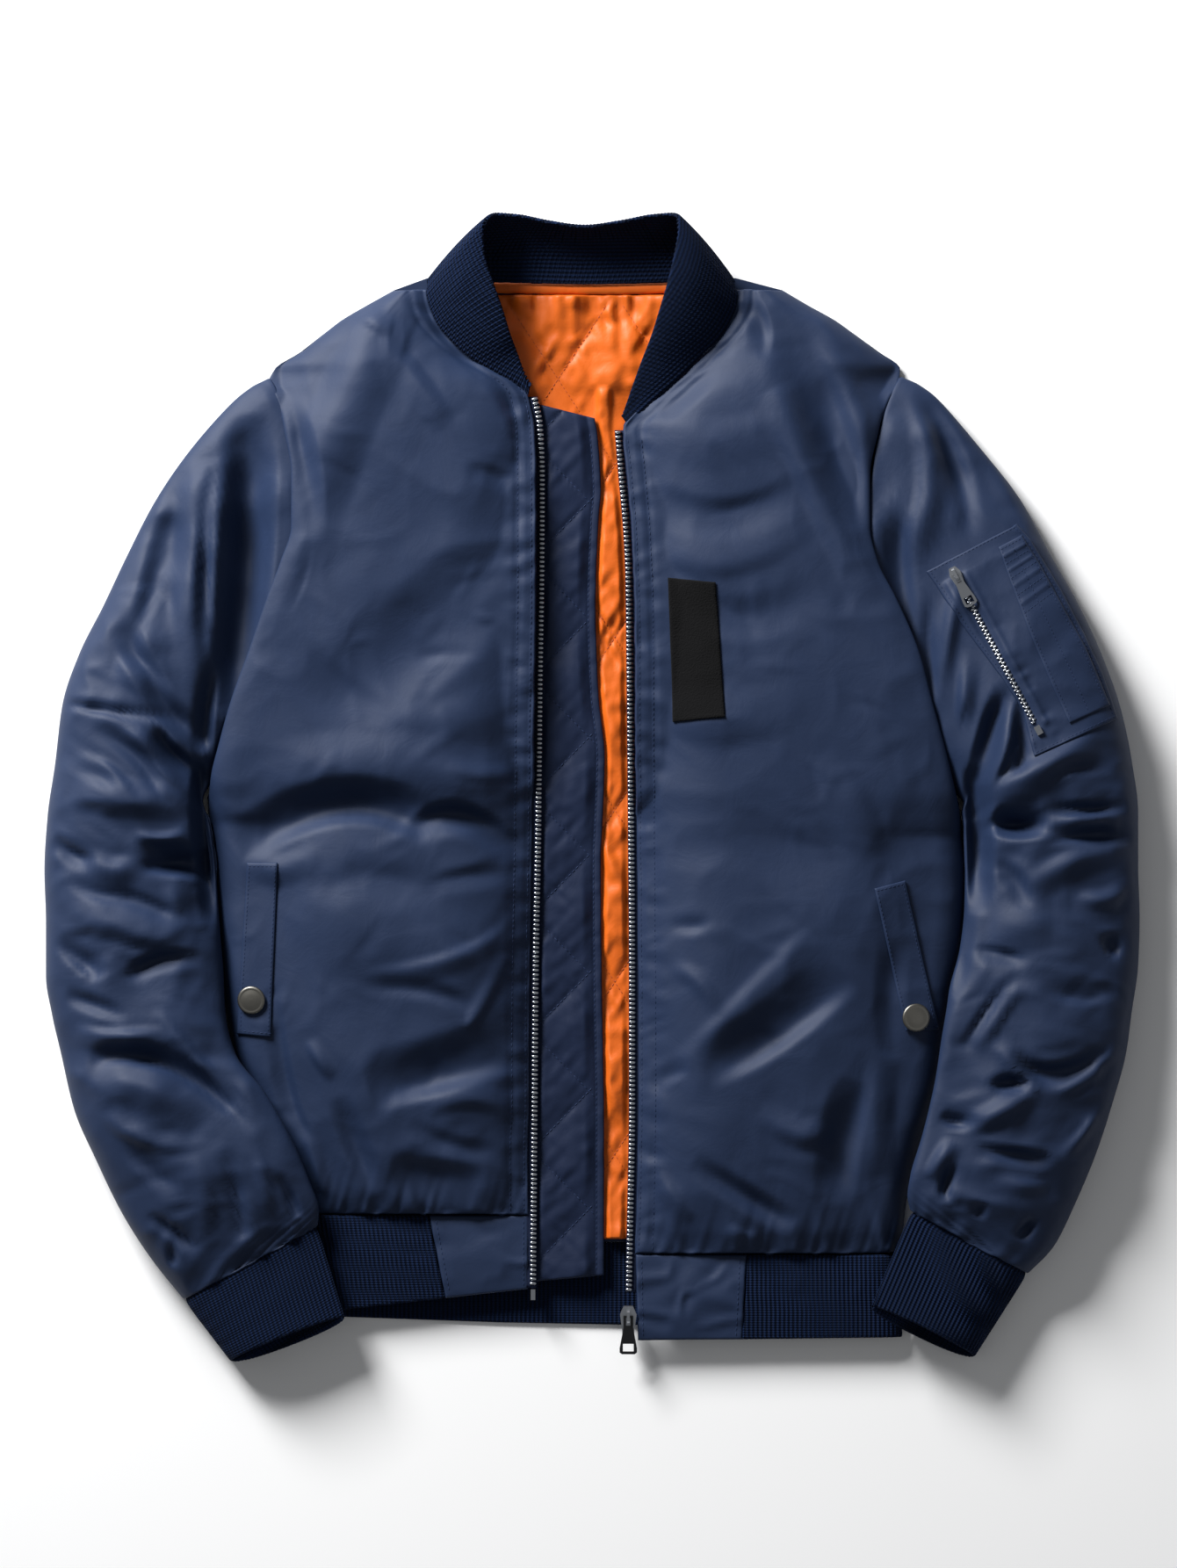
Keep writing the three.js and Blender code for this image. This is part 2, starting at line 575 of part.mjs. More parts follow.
/** Place in a straight band between two ends. */
function beside({ from, to, wide }) {
  const length = Math.hypot(to[0] - from[0], to[1] - from[1]);
  const across = [(from[1] - to[1]) / length, (to[0] - from[0]) / length];
  return (v, u) => [0, 1].map((k) => mix(from[k], to[k], v) + across[k] * wide * (u - 0.5));
}

/** Small metal block, its base at the given height. */
function block(name, { x, y, z, long, wide, tall }, finish) {
  const geometry = new THREE.BoxGeometry(wide, long, tall);
  const mesh = named(name, geometry, finish);
  mesh.position.set(x, y, z + tall / 2);
  return mesh;
}

/** Flat-sided strip along a line of points: `wide` across, from each point's height up by `tall`. */
function strip(name, line, wide, tall, finish) {
  const points = [];
  line.forEach((p, i) => {
    const before = line[Math.max(0, i - 1)];
    const after = line[Math.min(line.length - 1, i + 1)];
    const along = new THREE.Vector3(after.x - before.x, after.y - before.y, 0).normalize();
    const across = new THREE.Vector3(-along.y, along.x, 0).multiplyScalar(wide / 2);
    for (const [side, up] of [[-1, 0], [1, 0], [1, 1], [-1, 1]]) {
      points.push(new THREE.Vector3(p.x, p.y, p.z + up * tall).addScaledVector(across, side));
    }
  });
  const faces = [[0, 1, 2], [0, 2, 3]];
  for (let i = 0; i < line.length - 1; i += 1) {
    for (let k = 0; k < 4; k += 1) {
      const [a, b] = [i * 4 + k, i * 4 + ((k + 1) % 4)];
      faces.push([b, a, a + 4], [b, a + 4, b + 4]);
    }
  }
  const end = (line.length - 1) * 4;
  faces.push([end, end + 2, end + 1], [end, end + 3, end + 2]);
  return solid(name, points, faces, finish);
}

/** Height of a front panel: a quick roll up from the side, a slow crown, a fall to the front edge. */
function frontHeight(row, width, fromSide) {
  const fromFront = width - fromSide;
  const lip = Math.min(SIDE_LIP, 0.6 * (row.crown - row.edge));
  const rise = smooth(fromSide / (0.45 * width)) * (row.crown - row.edge - lip);
  const body = row.edge + lip * roll(fromSide / Math.min(SIDE_ROLL, 0.35 * width)) + rise;
  const fall = Math.min(ZIP_FALL, 0.5 * width);
  return mix(row.rim, body, 1 - (1 - clamp01(fromFront / fall)) ** 2);
}

/** Outer points of a front panel. */
function frontGrid(rows, folds) {
  const track = tracks(rows, "y");
  const fold = folding(folds);
  const neck = rows[FRONT_TOP_ROWS].y;
  const high = rows[0].y;
  const low = rows[rows.length - 1].y;
  return lay(FRONT_ROWS, FRONT_ACROSS, (v, u) => {
    const i = v * FRONT_ROWS;
    const y = i < FRONT_TOP_ROWS ? mix(high, neck, i / FRONT_TOP_ROWS)
      : mix(neck, low, (i - FRONT_TOP_ROWS) / (FRONT_ROWS - FRONT_TOP_ROWS));
    const row = track(y);
    const width = Math.abs(row.front - row.side);
    const fromSide = width * (0.65 * u ** 1.9 + 0.35 * (1 - (1 - u) ** 1.4));
    const x = row.side + Math.sign(row.front - row.side) * fromSide;
    const fade = smooth(fromSide / 16) * smooth((width - fromSide) / 12);
    return new THREE.Vector3(x, y, frontHeight(row, width, fromSide) + fold(x, y) * fade);
  });
}

/** Point on a sleeve or cuff ring: turn 0 is its inner end, half a turn its outer end, over the top. */
function ringPoint(ring, turn, toBody) {
  const across = (1 - Math.cos(turn)) / 2;
  const over = Math.sin(turn) >= 0;
  const round = Math.abs(Math.sin(turn));
  const rim = mix(ring.rimIn, ring.rimOut, across);
  const lift = ring.lift * (1 - smooth(across / 0.5));
  const bow = ring.bow * toBody * (4 * across * (1 - across)) ** 0.8;
  const z = over ? rim + (ring.top - rim) * round ** ring.full : mix(rim, lift, Math.min(1, 1.6 * round));
  return new THREE.Vector3(mix(ring.inX, ring.outX, across) + bow, mix(ring.inY, ring.outY, across), z);
}

/** Outer points of a sleeve, ring by ring. */
function sleeveGrid(rows, toBody, folds) {
  const track = tracks(rows, null);
  const fold = folding(folds);
  return Array.from({ length: SLEEVE_RINGS + 1 }, (_, i) => {
    const ring = track((i / SLEEVE_RINGS) * (rows.length - 1));
    return Array.from({ length: SLEEVE_ROUND }, (_, j) => {
      const turn = (2 * Math.PI * j) / SLEEVE_ROUND;
      const point = ringPoint(ring, turn, toBody);
      const fade = smooth(Math.sin(turn) * 1.6) * smooth(i / 3) * smooth((SLEEVE_RINGS - i) / 2);
      return point.setZ(point.z + fold(point.x, point.y) * fade);
    });
  });
}

/** Upper half of a tube's rings, as a panel. */
function upperHalf(grid) {
  return grid.map((ring) => ring.slice(0, SLEEVE_ROUND / 2 + 1));
}

/** Outer points of a cuff: the upper lip draws back from the open end and the lower one stands out. */
function cuffGrid(rows) {
  const [seam, end] = rows;
  const along = new THREE.Vector3(
    (end.outX + end.inX - seam.outX - seam.inX) / 2, (end.outY + end.inY - seam.outY - seam.inY) / 2, 0,
  ).normalize();
  const track = tracks(rows, null);
  return Array.from({ length: CUFF_RINGS + 1 }, (_, i) => {
    const v = i / CUFF_RINGS;
    return Array.from({ length: SLEEVE_ROUND }, (_, j) => {
      const turn = (2 * Math.PI * j) / SLEEVE_ROUND;
      const reach = Math.sin(turn) > 0 ? -CUFF_LIPS.over : -CUFF_LIPS.under;
      return ringPoint(track(v), turn, 0).addScaledVector(along, reach * Math.sin(turn) * v * v);
    });
  });
}

/** Outer points of the collar: each section bends from its seam to its free edge. */
function collarGrid() {
  const track = tracks(COLLAR, null);
  const sections = (COLLAR.length - 1) * 1.5;
  return lay(sections, COLLAR_STEPS, (v, t) => {
    const c = track(v * (COLLAR.length - 1));
    const push = 4 * t * (1 - t);
    return new THREE.Vector3(
      mix(c.baseX, c.freeX, t),
      mix(c.baseY, c.freeY, t) + push * c.midY,
      mix(c.baseZ, c.freeZ, t) + push * c.midZ,
    );
  });
}

/** Hem band of one front, between two fractions of its width. */
function hemGrid(hem, from, to, columns, swell) {
  return lay(4, columns, (v, u) => {
    const side = mix(hem.side[0], hem.side[1], v);
    const front = mix(hem.front[0], hem.front[1], v);
    const left = mix(from[0] ?? side, from[1] ?? side, v);
    const right = mix(to[0] ?? front, to[1] ?? front, v);
    const x = mix(left, right, from[0] === null ? u ** 1.5 : u);
    const share = (x - side) / (front - side);
    const y = mix(hem.top, mix(hem.low[0], hem.low[1], share), v);
    const edge = SHELL + GAP;
    const z = edge + (HEM_CROWN - edge) * roll(Math.abs(x - side) / HEM_ROLL);
    return new THREE.Vector3(x, y, z + swell * Math.sin(Math.PI * v));
  });
}

/** How far a place lies from the nearest quilting line, 0 on a line and 1 in a diamond's middle. */
function puff(diamond, x, y) {
  const tooth = (t) => Math.abs(t - Math.round(t)) * 2;
  const a = (x - diamond.x) / diamond.wide + (y - diamond.y) / diamond.high;
  const b = (x - diamond.x) / diamond.wide - (y - diamond.y) / diamond.high;
  return Math.sqrt(tooth(a) * tooth(b));
}

/** Diamond-quilted lining of the back: puffed above a plain inside. */
function backLining(finish) {
  const outer = lay(LINING_ROWS, LINING_ACROSS, (v, u) => {
    const y = mix(LINING_TOP, LINING_END, v);
    const neck = smooth((y - LINING_NECK.from) / (LINING_NECK.to - LINING_NECK.from));
    const corner = 1 - 0.35 * smooth((LINING_END + LINING_CORNER - y) / LINING_CORNER);
    const half = mix(LINING_STRIP.half, LINING_NECK.half, neck) * corner;
    const x = mix(LINING_STRIP.x, LINING_NECK.x, neck) + half * (2 * u - 1);
    const rise = LINING + LINING_PUFF * puff(LINING_DIAMOND, x, y);
    return new THREE.Vector3(x, y, LINING_BASE + rise);
  });
  const inner = outer.map((row) => row.map((p) => p.clone().setZ(LINING_BASE)));
  return wall("back_lining", outer, LINING, finish, { inner, valleys: true });
}

/** Wind flap behind the right zip: quilted, with a slanting top edge. */
function windFlap(finish) {
  const zip = through(ZIP_RIGHT, "y", "x");
  const edge = through(FLAP_EDGE, "y", "x");
  const outer = lay(FLAP_ROWS, FLAP_ACROSS, (v, u) => {
    const y = mix(mix(...FLAP_ENDS.top, u), mix(...FLAP_ENDS.low, u), v);
    const left = zip(y) - FLAP_BEHIND;
    const x = mix(left, edge(y), u);
    const rise = LINING + FLAP_PUFF * puff(FLAP_DIAMOND, x, y) * smooth(u / 0.4);
    return new THREE.Vector3(x, y, FLAP_BASE + rise);
  });
  const inner = outer.map((row) => row.map((p) => p.clone().setZ(FLAP_BASE)));
  return wall("wind_flap", outer, LINING, finish, { inner, valleys: true });
}

/** Outline extruded up from the surface. */
function flatPanel(name, outline, thick, finish) {
  const shape = new THREE.Shape(outline.map(([x, y]) => new THREE.Vector2(x, y)));
  return named(name, new THREE.ExtrudeGeometry(shape, { depth: thick, bevelEnabled: false }), finish);
}

/** One side of the back panel from shoulder to hem: shoulder line, armhole, side seam. */
function backSide(rows, sleeve, toBody) {
  const shoulder = rows.filter((row) => row.y > sleeve[0].outY).map((row) => [row.side, row.y]);
  const armhole = [];
  for (let turn = 0.92 * Math.PI; turn > 0; turn -= Math.PI / 16) {
    const p = ringPoint(sleeve[0], turn, toBody);
    armhole.push([p.x + toBody * 2.6, p.y]);
  }
  const underarm = sleeve.slice(1, 6).map((ring) => [ring.inX + toBody * 2.2, ring.inY]);
  const lower = rows.filter((row) => row.y < sleeve[5].inY - 4 && row.y > BACK_HEM);
  const seam = lower.map((row) => [row.side, row.y]);
  return [...shoulder, ...armhole, ...underarm, ...seam];
}

/** Snap cap: a low dome over a rim, seated on its welt and square to it. */
function snap(name, face, [x, y], finish) {
  const profile = [
    [0, 0], [SNAP.radius - SNAP.flange, 0], [SNAP.radius, 0.7], [SNAP.radius, SNAP.tall - 1.2],
    [SNAP.radius - 0.9, SNAP.tall - SNAP.dome], [SNAP.radius * 0.6, SNAP.tall - 0.25], [0, SNAP.tall],
  ].map(([r, z]) => new THREE.Vector2(r, z));
  const geometry = new THREE.LatheGeometry(profile, 24);
  geometry.rotateX(Math.PI / 2);
  const { point, normal } = face(x, y);
  const lean = new THREE.Quaternion().setFromUnitVectors(new THREE.Vector3(0, 0, 1), normal);
  const mesh = named(name, geometry, finish);
  mesh.position.copy(point).addScaledVector(normal, WELT_RIGHT.thick + APPLIED_LIFT + SNAP.seat);
  mesh.quaternion.copy(lean);
  return mesh;
}

/** Outline of a slider body. Local +X is where its tab points. */
function sliderOutline(size) {
  const half = size.wide / 2;
  const shape = new THREE.Shape();
  shape.moveTo(-size.long / 2, -half * 0.55);
  shape.lineTo(-size.long * 0.1, -half);
  shape.lineTo(size.long / 2, -half * 0.8);
  shape.lineTo(size.long / 2, half * 0.8);
  shape.lineTo(-size.long * 0.1, half);
  shape.lineTo(-size.long / 2, half * 0.55);
  shape.closePath();
  return shape;
}

/** Bridge over a slider: an arch along the zip. */
function bridgeOutline() {
  const out = BRIDGE.span / 2;
  const rise = BRIDGE.inner + BRIDGE.bar;
  const shape = new THREE.Shape();
  shape.moveTo(-out, -BRIDGE.sunk);
  shape.lineTo(-out, rise - 1);
  shape.lineTo(-out + 1, rise);
  shape.lineTo(out - 1, rise);
  shape.lineTo(out, rise - 1);
  shape.lineTo(out, -BRIDGE.sunk);
  shape.lineTo(out - BRIDGE.bar, -BRIDGE.sunk);
  shape.lineTo(out - BRIDGE.bar, BRIDGE.inner);
  shape.lineTo(-out + BRIDGE.bar, BRIDGE.inner);
  shape.lineTo(-out + BRIDGE.bar, -BRIDGE.sunk);
  shape.closePath();
  return shape;
}

/** Frame of a slider: its place, the way its tab points, and the cloth's lean there. */
function sliderFrame(place, turn, normal) {
  const group = new THREE.Group();
  group.position.copy(place);
  const lean = new THREE.Quaternion().setFromUnitVectors(new THREE.Vector3(0, 0, 1), normal);
  const spin = new THREE.Quaternion().setFromAxisAngle(new THREE.Vector3(0, 0, 1), turn);
  group.quaternion.copy(lean.multiply(spin));
  return group;
}

/** One body from two closed ones. */
function joined(first, second) {
  const [a, b] = [first, second].map((geometry) => {
    const bare = new THREE.BufferGeometry().setAttribute("position", geometry.getAttribute("position"));
    if (geometry.index) bare.setIndex(geometry.index);
    const merged = mergeVertices(bare, 1e-4);
    return new Manifold(new ClosedMesh({
      numProp: 3,
      vertProperties: new Float32Array(merged.getAttribute("position").array),
      triVerts: new Uint32Array(merged.index.array),
    }));
  });
  const whole = a.add(b).getMesh();
  const geometry = new THREE.BufferGeometry();
  geometry.setAttribute("position", new THREE.Float32BufferAttribute(whole.vertProperties, 3));
  geometry.setIndex(Array.from(whole.triVerts));
  geometry.computeVertexNormals();
  return geometry;
}

/** Slider body and the bridge that stands on it. */
function slider(name, size, finish) {
  const body = new THREE.ExtrudeGeometry(sliderOutline(size), { depth: size.tall, bevelEnabled: false });
  const arch = new THREE.ExtrudeGeometry(bridgeOutline(), { depth: BRIDGE.wide, bevelEnabled: false });
  arch.rotateX(Math.PI / 2);
  arch.translate(0, BRIDGE.wide / 2, size.tall);
  return named(name, joined(body, arch), finish);
}

/** Pull tab: a plate with an eye for the bridge and a hole near its end, hanging on a crossbar. */
function tabOutline(tab) {
  const eye = BRIDGE.span / 2 + BRIDGE.bar + 0.9;
  const shape = new THREE.Shape();
  const neck = tab.neck / 2;
  const half = tab.wide / 2;
  shape.moveTo(-0.7, -neck);
  shape.lineTo(eye + 1.6, -neck);
  shape.lineTo(tab.long - 4, -half);
  shape.lineTo(tab.long - 1.2, -half);
  shape.lineTo(tab.long, -half + 1.6);
  shape.lineTo(tab.long, half - 1.6);
  shape.lineTo(tab.long - 1.2, half);
  shape.lineTo(tab.long - 4, half);
  shape.lineTo(eye + 1.6, neck);
  shape.lineTo(-0.7, neck);
  shape.closePath();
  const hole = (x0, x1, w) => {
    const path = new THREE.Path();
    path.moveTo(x0, -w);
    path.lineTo(x0, w);
    path.lineTo(x1, w);
    path.lineTo(x1, -w);
    path.closePath();
    shape.holes.push(path);
  };
  hole(0.7, eye, BRIDGE.wide / 2 + 0.5);
  hole(tab.long * 0.72, tab.long - 1.8, half * tab.slot);
  return shape;
}

function pullTab(name, tab, seat, finish) {
  const plate = new THREE.ExtrudeGeometry(tabOutline(tab), { depth: TAB_PLATE, bevelEnabled: false });
  plate.translate(0, 0, -TAB_PLATE / 2);
  plate.rotateY(tab.slope);
  const mesh = named(name, plate, finish);
  mesh.position.set(0, 0, seat + CROSSBAR_HEIGHT);
  return mesh;
}

function finish(color, roughness, metalness = 0) {
  return new THREE.MeshStandardMaterial({ color, roughness, metalness });
}

const NYLON = finish(0x323f58, 0.42);
const KNITTED = finish(0x18243c, 0.9);
const ORANGE = finish(0xc76325, 0.5);
const LOOP = finish(0x141414, 0.95);
const STEEL = finish(0xb4b8bd, 0.3, 1);
const DARK_STEEL = finish(0x4e504f, 0.4, 0.9);
const TAPE = finish(0x283349, 0.8);

const jacket = new THREE.Group();

// Back, and what lies on it
const backLeftSide = backSide(FRONT_RIGHT, SLEEVE_RIGHT, 1);
const backRightSide = backSide(FRONT_LEFT, SLEEVE_LEFT, -1);
jacket.add(flatPanel("back", [
  [-109, BACK_TOP], ...backLeftSide, [-181, BACK_HEM],
  [204, BACK_HEM], ...backRightSide.reverse(), [95, BACK_TOP],
], SHELL, NYLON));
jacket.add(flatPanel("hem_rib_back", [
  [-181, BACK_HEM - GAP], [-176, HEM_LOW + 5], [-60, HEM_LOW], [30, HEM_LOW - 1.5], [206, HEM_LOW - 5],
  [205, BACK_HEM - GAP],
], KNIT, KNITTED));
jacket.add(backLining(ORANGE));
const binding = [[-70, 330.5, 3.3], [-20, 329.5, 3.3], [20, 329.5, 3.3], [60, 330.5, 3.3]]
  .map(([x, y, z]) => new THREE.Vector3(x, y, z));
jacket.add(strip("neck_binding", binding, 7, 3.6, ORANGE));

// Fronts
const frontRight = frontGrid(FRONT_RIGHT, FOLDS_FRONT_RIGHT);
const frontLeft = frontGrid(FRONT_LEFT, FOLDS_FRONT_LEFT);
const onBack = { floor: SHELL + GAP };
jacket.add(wall("front_right", frontRight, SHELL, NYLON, onBack));
jacket.add(wall("front_left", frontLeft, SHELL, NYLON, onBack));
jacket.add(windFlap(NYLON));

// Sleeves and cuffs
const sleeveRight = sleeveGrid(SLEEVE_RIGHT, 1, FOLDS_SLEEVE_RIGHT);
const sleeveLeft = sleeveGrid(SLEEVE_LEFT, -1, FOLDS_SLEEVE_LEFT);
jacket.add(wall("sleeve_right", sleeveRight, SHELL, NYLON, { ring: true }));
jacket.add(wall("sleeve_left", sleeveLeft, SHELL, NYLON, { ring: true }));
jacket.add(wall("cuff_right", cuffGrid(CUFF_RIGHT), KNIT, KNITTED, { ring: true }));
jacket.add(wall("cuff_left", cuffGrid(CUFF_LEFT), KNIT, KNITTED, { ring: true }));

// Collar and hem
jacket.add(wall("collar", collarGrid(), KNIT, KNITTED));
const none = [null, null];
const shifted = (edge, by) => edge.map((x) => x + by);
const ribRight = hemGrid(HEM_RIGHT, none, TAB_EDGE_RIGHT, 7, HEM_SWELL);
const tabRight = hemGrid(HEM_RIGHT, shifted(TAB_EDGE_RIGHT, GAP), none, 5, HEM_SWELL);
const ribLeft = hemGrid(HEM_LEFT, none, TAB_EDGE_LEFT, 8, HEM_SWELL);
const tabLeft = hemGrid(HEM_LEFT, shifted(TAB_EDGE_LEFT, -GAP), none, 5, HEM_SWELL);
jacket.add(wall("hem_rib_right", ribRight, KNIT, KNITTED, onBack));
jacket.add(wall("hem_tab_right", tabRight, KNIT, NYLON, onBack));
jacket.add(wall("hem_rib_left", ribLeft, KNIT, KNITTED, onBack));
jacket.add(wall("hem_tab_left", tabLeft, KNIT, NYLON, onBack));

// Main zip
jacket.add(strip("zip_right", ZIP_RIGHT, TEETH.wide, TEETH.tall, STEEL));
jacket.add(strip("zip_left", ZIP_LEFT, TEETH.wide, TEETH.tall, STEEL));
const mainSlider = sliderFrame(
  new THREE.Vector3(MAIN_SLIDER.x, MAIN_SLIDER.y, MAIN_SLIDER.z), MAIN_SLIDER.turn, new THREE.Vector3(0, 0, 1),
);
mainSlider.add(slider("zip_slider", MAIN_SLIDER, STEEL));
mainSlider.add(pullTab("zip_pull_tab", MAIN_TAB, MAIN_SLIDER.tall, DARK_STEEL));
jacket.add(mainSlider);
jacket.add(block("zip_box", ZIP_BOX, STEEL));
jacket.add(block("zip_pin", ZIP_PIN, STEEL));

// Chest patch, welts and snaps
const onRight = faceOf(frontRight);
const onLeft = faceOf(frontLeft);
jacket.add(applied("chest_patch", onLeft, inCorners(PATCH.corners), PATCH.thick, 8, 4, LOOP));
jacket.add(applied("welt_right", onRight, inCorners(WELT_RIGHT.corners), WELT_RIGHT.thick, 9, 4, NYLON));
jacket.add(applied("welt_left", onLeft, inCorners(WELT_LEFT.corners), WELT_LEFT.thick, 9, 4, NYLON));
jacket.add(snap("snap_right", onRight, SNAP_RIGHT, DARK_STEEL));
jacket.add(snap("snap_left", onLeft, SNAP_LEFT, DARK_STEEL));

// Utility pocket on the left sleeve
const onSleeve = faceOf(upperHalf(sleeveLeft));
const pocketPlan = between(POCKET_PANEL.left, POCKET_PANEL.right);
const pocket = appliedGrids(onSleeve, pocketPlan, POCKET_PANEL.thick, 12, POCKET_PANEL.across);
jacket.add(wall("pocket_panel", pocket.outer, POCKET_PANEL.thick, NYLON, { inner: pocket.inner }));
const onPocket = faceOf(pocket.outer);
const penPlan = between(PEN_SLOT.left, PEN_SLOT.right);
jacket.add(applied("pen_slot", onPocket, penPlan, PEN_SLOT.thick, 11, PEN_SLOT.across, NYLON));
jacket.add(applied("pocket_zip", onPocket, beside(POCKET_ZIP), POCKET_ZIP.thick, 12, 1, STEEL));
const pocketSeat = onPocket(POCKET_SLIDER.x, POCKET_SLIDER.y);
const pocketSlider = sliderFrame(
  pocketSeat.point.addScaledVector(pocketSeat.normal, 1), POCKET_SLIDER.turn, pocketSeat.normal,
);
pocketSlider.add(slider("pocket_slider", POCKET_SLIDER, STEEL));
pocketSlider.add(pullTab("pocket_pull_tab", POCKET_TAB, POCKET_SLIDER.tall, STEEL));
jacket.add(pocketSlider);
const stopSeat = onPocket(END_STOP.x, END_STOP.y);
const stopPlace = stopSeat.point.addScaledVector(stopSeat.normal, 0.6);
const stop = sliderFrame(stopPlace, POCKET_SLIDER.turn, stopSeat.normal);
stop.add(block("pocket_end_stop", { ...END_STOP, x: 0, y: 0, z: 0 }, STEEL));
jacket.add(stop);

// The plan is centred on the jacket and its lowest point is on the surface
const bounds = new THREE.Box3().setFromObject(jacket);
const middle = bounds.getCenter(new THREE.Vector3());
jacket.position.set(-middle.x, -middle.y, -bounds.min.z);

export default jacket;
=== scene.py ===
"""Looks of a bomber jacket laid flat on its back with its zip open.

The cloth is modelled as thin closed shells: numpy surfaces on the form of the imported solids, with more
folds, puckers and stitches. Plan sizes are millimetres in the draft's own frame; `Plan` moves them to
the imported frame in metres. +X is the wearer's left, +Y the collar, +Z up.
"""

import logging
import math
from dataclasses import dataclass, field
from enum import Enum

import bpy
import numpy as np
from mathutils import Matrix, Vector
from mathutils.bvhtree import BVHTree


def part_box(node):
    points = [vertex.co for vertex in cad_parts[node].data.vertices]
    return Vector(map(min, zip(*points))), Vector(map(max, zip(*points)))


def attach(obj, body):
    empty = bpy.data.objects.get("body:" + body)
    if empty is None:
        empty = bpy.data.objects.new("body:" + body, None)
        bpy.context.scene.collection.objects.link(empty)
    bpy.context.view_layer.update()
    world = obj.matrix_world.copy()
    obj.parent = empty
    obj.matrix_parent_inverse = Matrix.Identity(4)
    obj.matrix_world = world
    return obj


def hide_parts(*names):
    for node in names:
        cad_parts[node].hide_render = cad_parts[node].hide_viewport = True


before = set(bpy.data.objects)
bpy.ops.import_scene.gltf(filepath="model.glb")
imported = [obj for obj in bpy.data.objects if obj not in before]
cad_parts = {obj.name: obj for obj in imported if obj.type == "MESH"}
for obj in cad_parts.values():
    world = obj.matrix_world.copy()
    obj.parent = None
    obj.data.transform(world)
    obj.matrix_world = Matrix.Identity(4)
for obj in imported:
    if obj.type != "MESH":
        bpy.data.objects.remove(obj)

Array = np.ndarray
log = logging.getLogger("jacket")

MM = 0.001
BACK_TOP = 337.0
SHELL = 3.0
KNIT = 2.5
LINING = 2.0
GAP = 0.3
RIB_PITCH = 3.0
RIB_DEPTH = 0.45
LINING_PUFF = 2.4
JACKET_BODY = "jacket"
SEED = 11


class Slot(Enum):
    """Material slots of the record."""

    SHELL = "shell_nylon"
    KNIT = "rib_knit"
    LINING = "lining_nylon"
    LOOP = "loop_tape"
    STEEL = "zip_steel"
    DARK = "dark_steel"


class Plan:
    """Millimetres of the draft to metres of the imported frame."""

    shift = np.array([0.0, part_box("back")[1].y / MM - BACK_TOP, 0.0])

    @classmethod
    def place(cls, points: Array) -> Array:
        """Points of the draft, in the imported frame."""
        return (points + cls.shift) * MM

    @classmethod
    def draft(cls, points: Array) -> Array:
        """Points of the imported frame, in the draft's millimetres."""
        return points / MM - cls.shift


def smooth(t: Array) -> Array:
    """Smooth step from 0 to 1 of t clamped to 0..1."""
    t = np.clip(t, 0.0, 1.0)
    return t * t * (3.0 - 2.0 * t)


def mix(a: Array, b: Array, t: Array) -> Array:
    """Linear blend from a to b."""
    return a + (b - a) * t


def roll(t: Array) -> Array:
    """Quarter circle: rises from 0 with an upright tangent to 1."""
    return np.sqrt(1.0 - (1.0 - np.clip(t, 0.0, 1.0)) ** 2)


def bell(t: Array) -> Array:
    """Bell curve of unit height and unit width."""
    return np.exp(-t * t)


def ripple(t: Array, wave: float, seed: int) -> Array:
    """Uneven wave along a line: smoothed random heights, one for each half wave.

    Args:
        t: Distance along the line.
        wave: Mean length of a wave, in the same unit.
        seed: Seed of the random heights.

    Returns:
        Heights between -1 and 1.
    """
    knots = np.random.default_rng(seed).uniform(-1.0, 1.0, 512)
    at = t / (wave / 2.0)
    low = np.floor(at).astype(int)
    return mix(knots[low % 512], knots[(low + 1) % 512], smooth(at - low))


def swell(x: Array, y: Array, wave: float, seed: int) -> Array:
    """Uneven surface: smoothed random heights on a square lattice of half a wave, between -1 and 1."""
    knots = np.random.default_rng(seed).uniform(-1.0, 1.0, (128, 128))
    a, b = x / (wave / 2.0), y / (wave / 2.0)
    i, j = np.floor(a).astype(int), np.floor(b).astype(int)
    s, t = smooth(a - i), smooth(b - j)
    low = mix(knots[i % 128, j % 128], knots[(i + 1) % 128, j % 128], s)
    high = mix(knots[i % 128, (j + 1) % 128], knots[(i + 1) % 128, (j + 1) % 128], s)
    return mix(low, high, t)


def crumple(x: Array, y: Array, wave: float, seed: int) -> Array:
    """Crisp crests between soft facets, as on creased nylon, between -1 and 1.

    Formula in words: 1 less twice the size of a warped uneven surface, so that the crests run where that
    surface crosses zero.
    """
    bent_x = x + 0.3 * wave * swell(x, y, 1.4 * wave, seed + 3)
    bent_y = y + 0.3 * wave * swell(y, x, 1.4 * wave, seed + 4)
    return 1.0 - 2.0 * np.sqrt(swell(bent_x, bent_y, wave, seed) ** 2 + 0.003)


def spaced(length: float, step: float, rim: tuple[float, ...] = (0.4, 1.0, 1.8)) -> Array:
    """Parameters 0..1 along a length: even steps, and closer lines at both rims for a rounded edge."""
    near = np.array(rim) / length
    inner = np.linspace(near[-1], 1.0 - near[-1], max(3, round(length / step)))
    return np.concatenate([[0.0], near[:-1], inner, 1.0 - near[:-1][::-1], [1.0]])


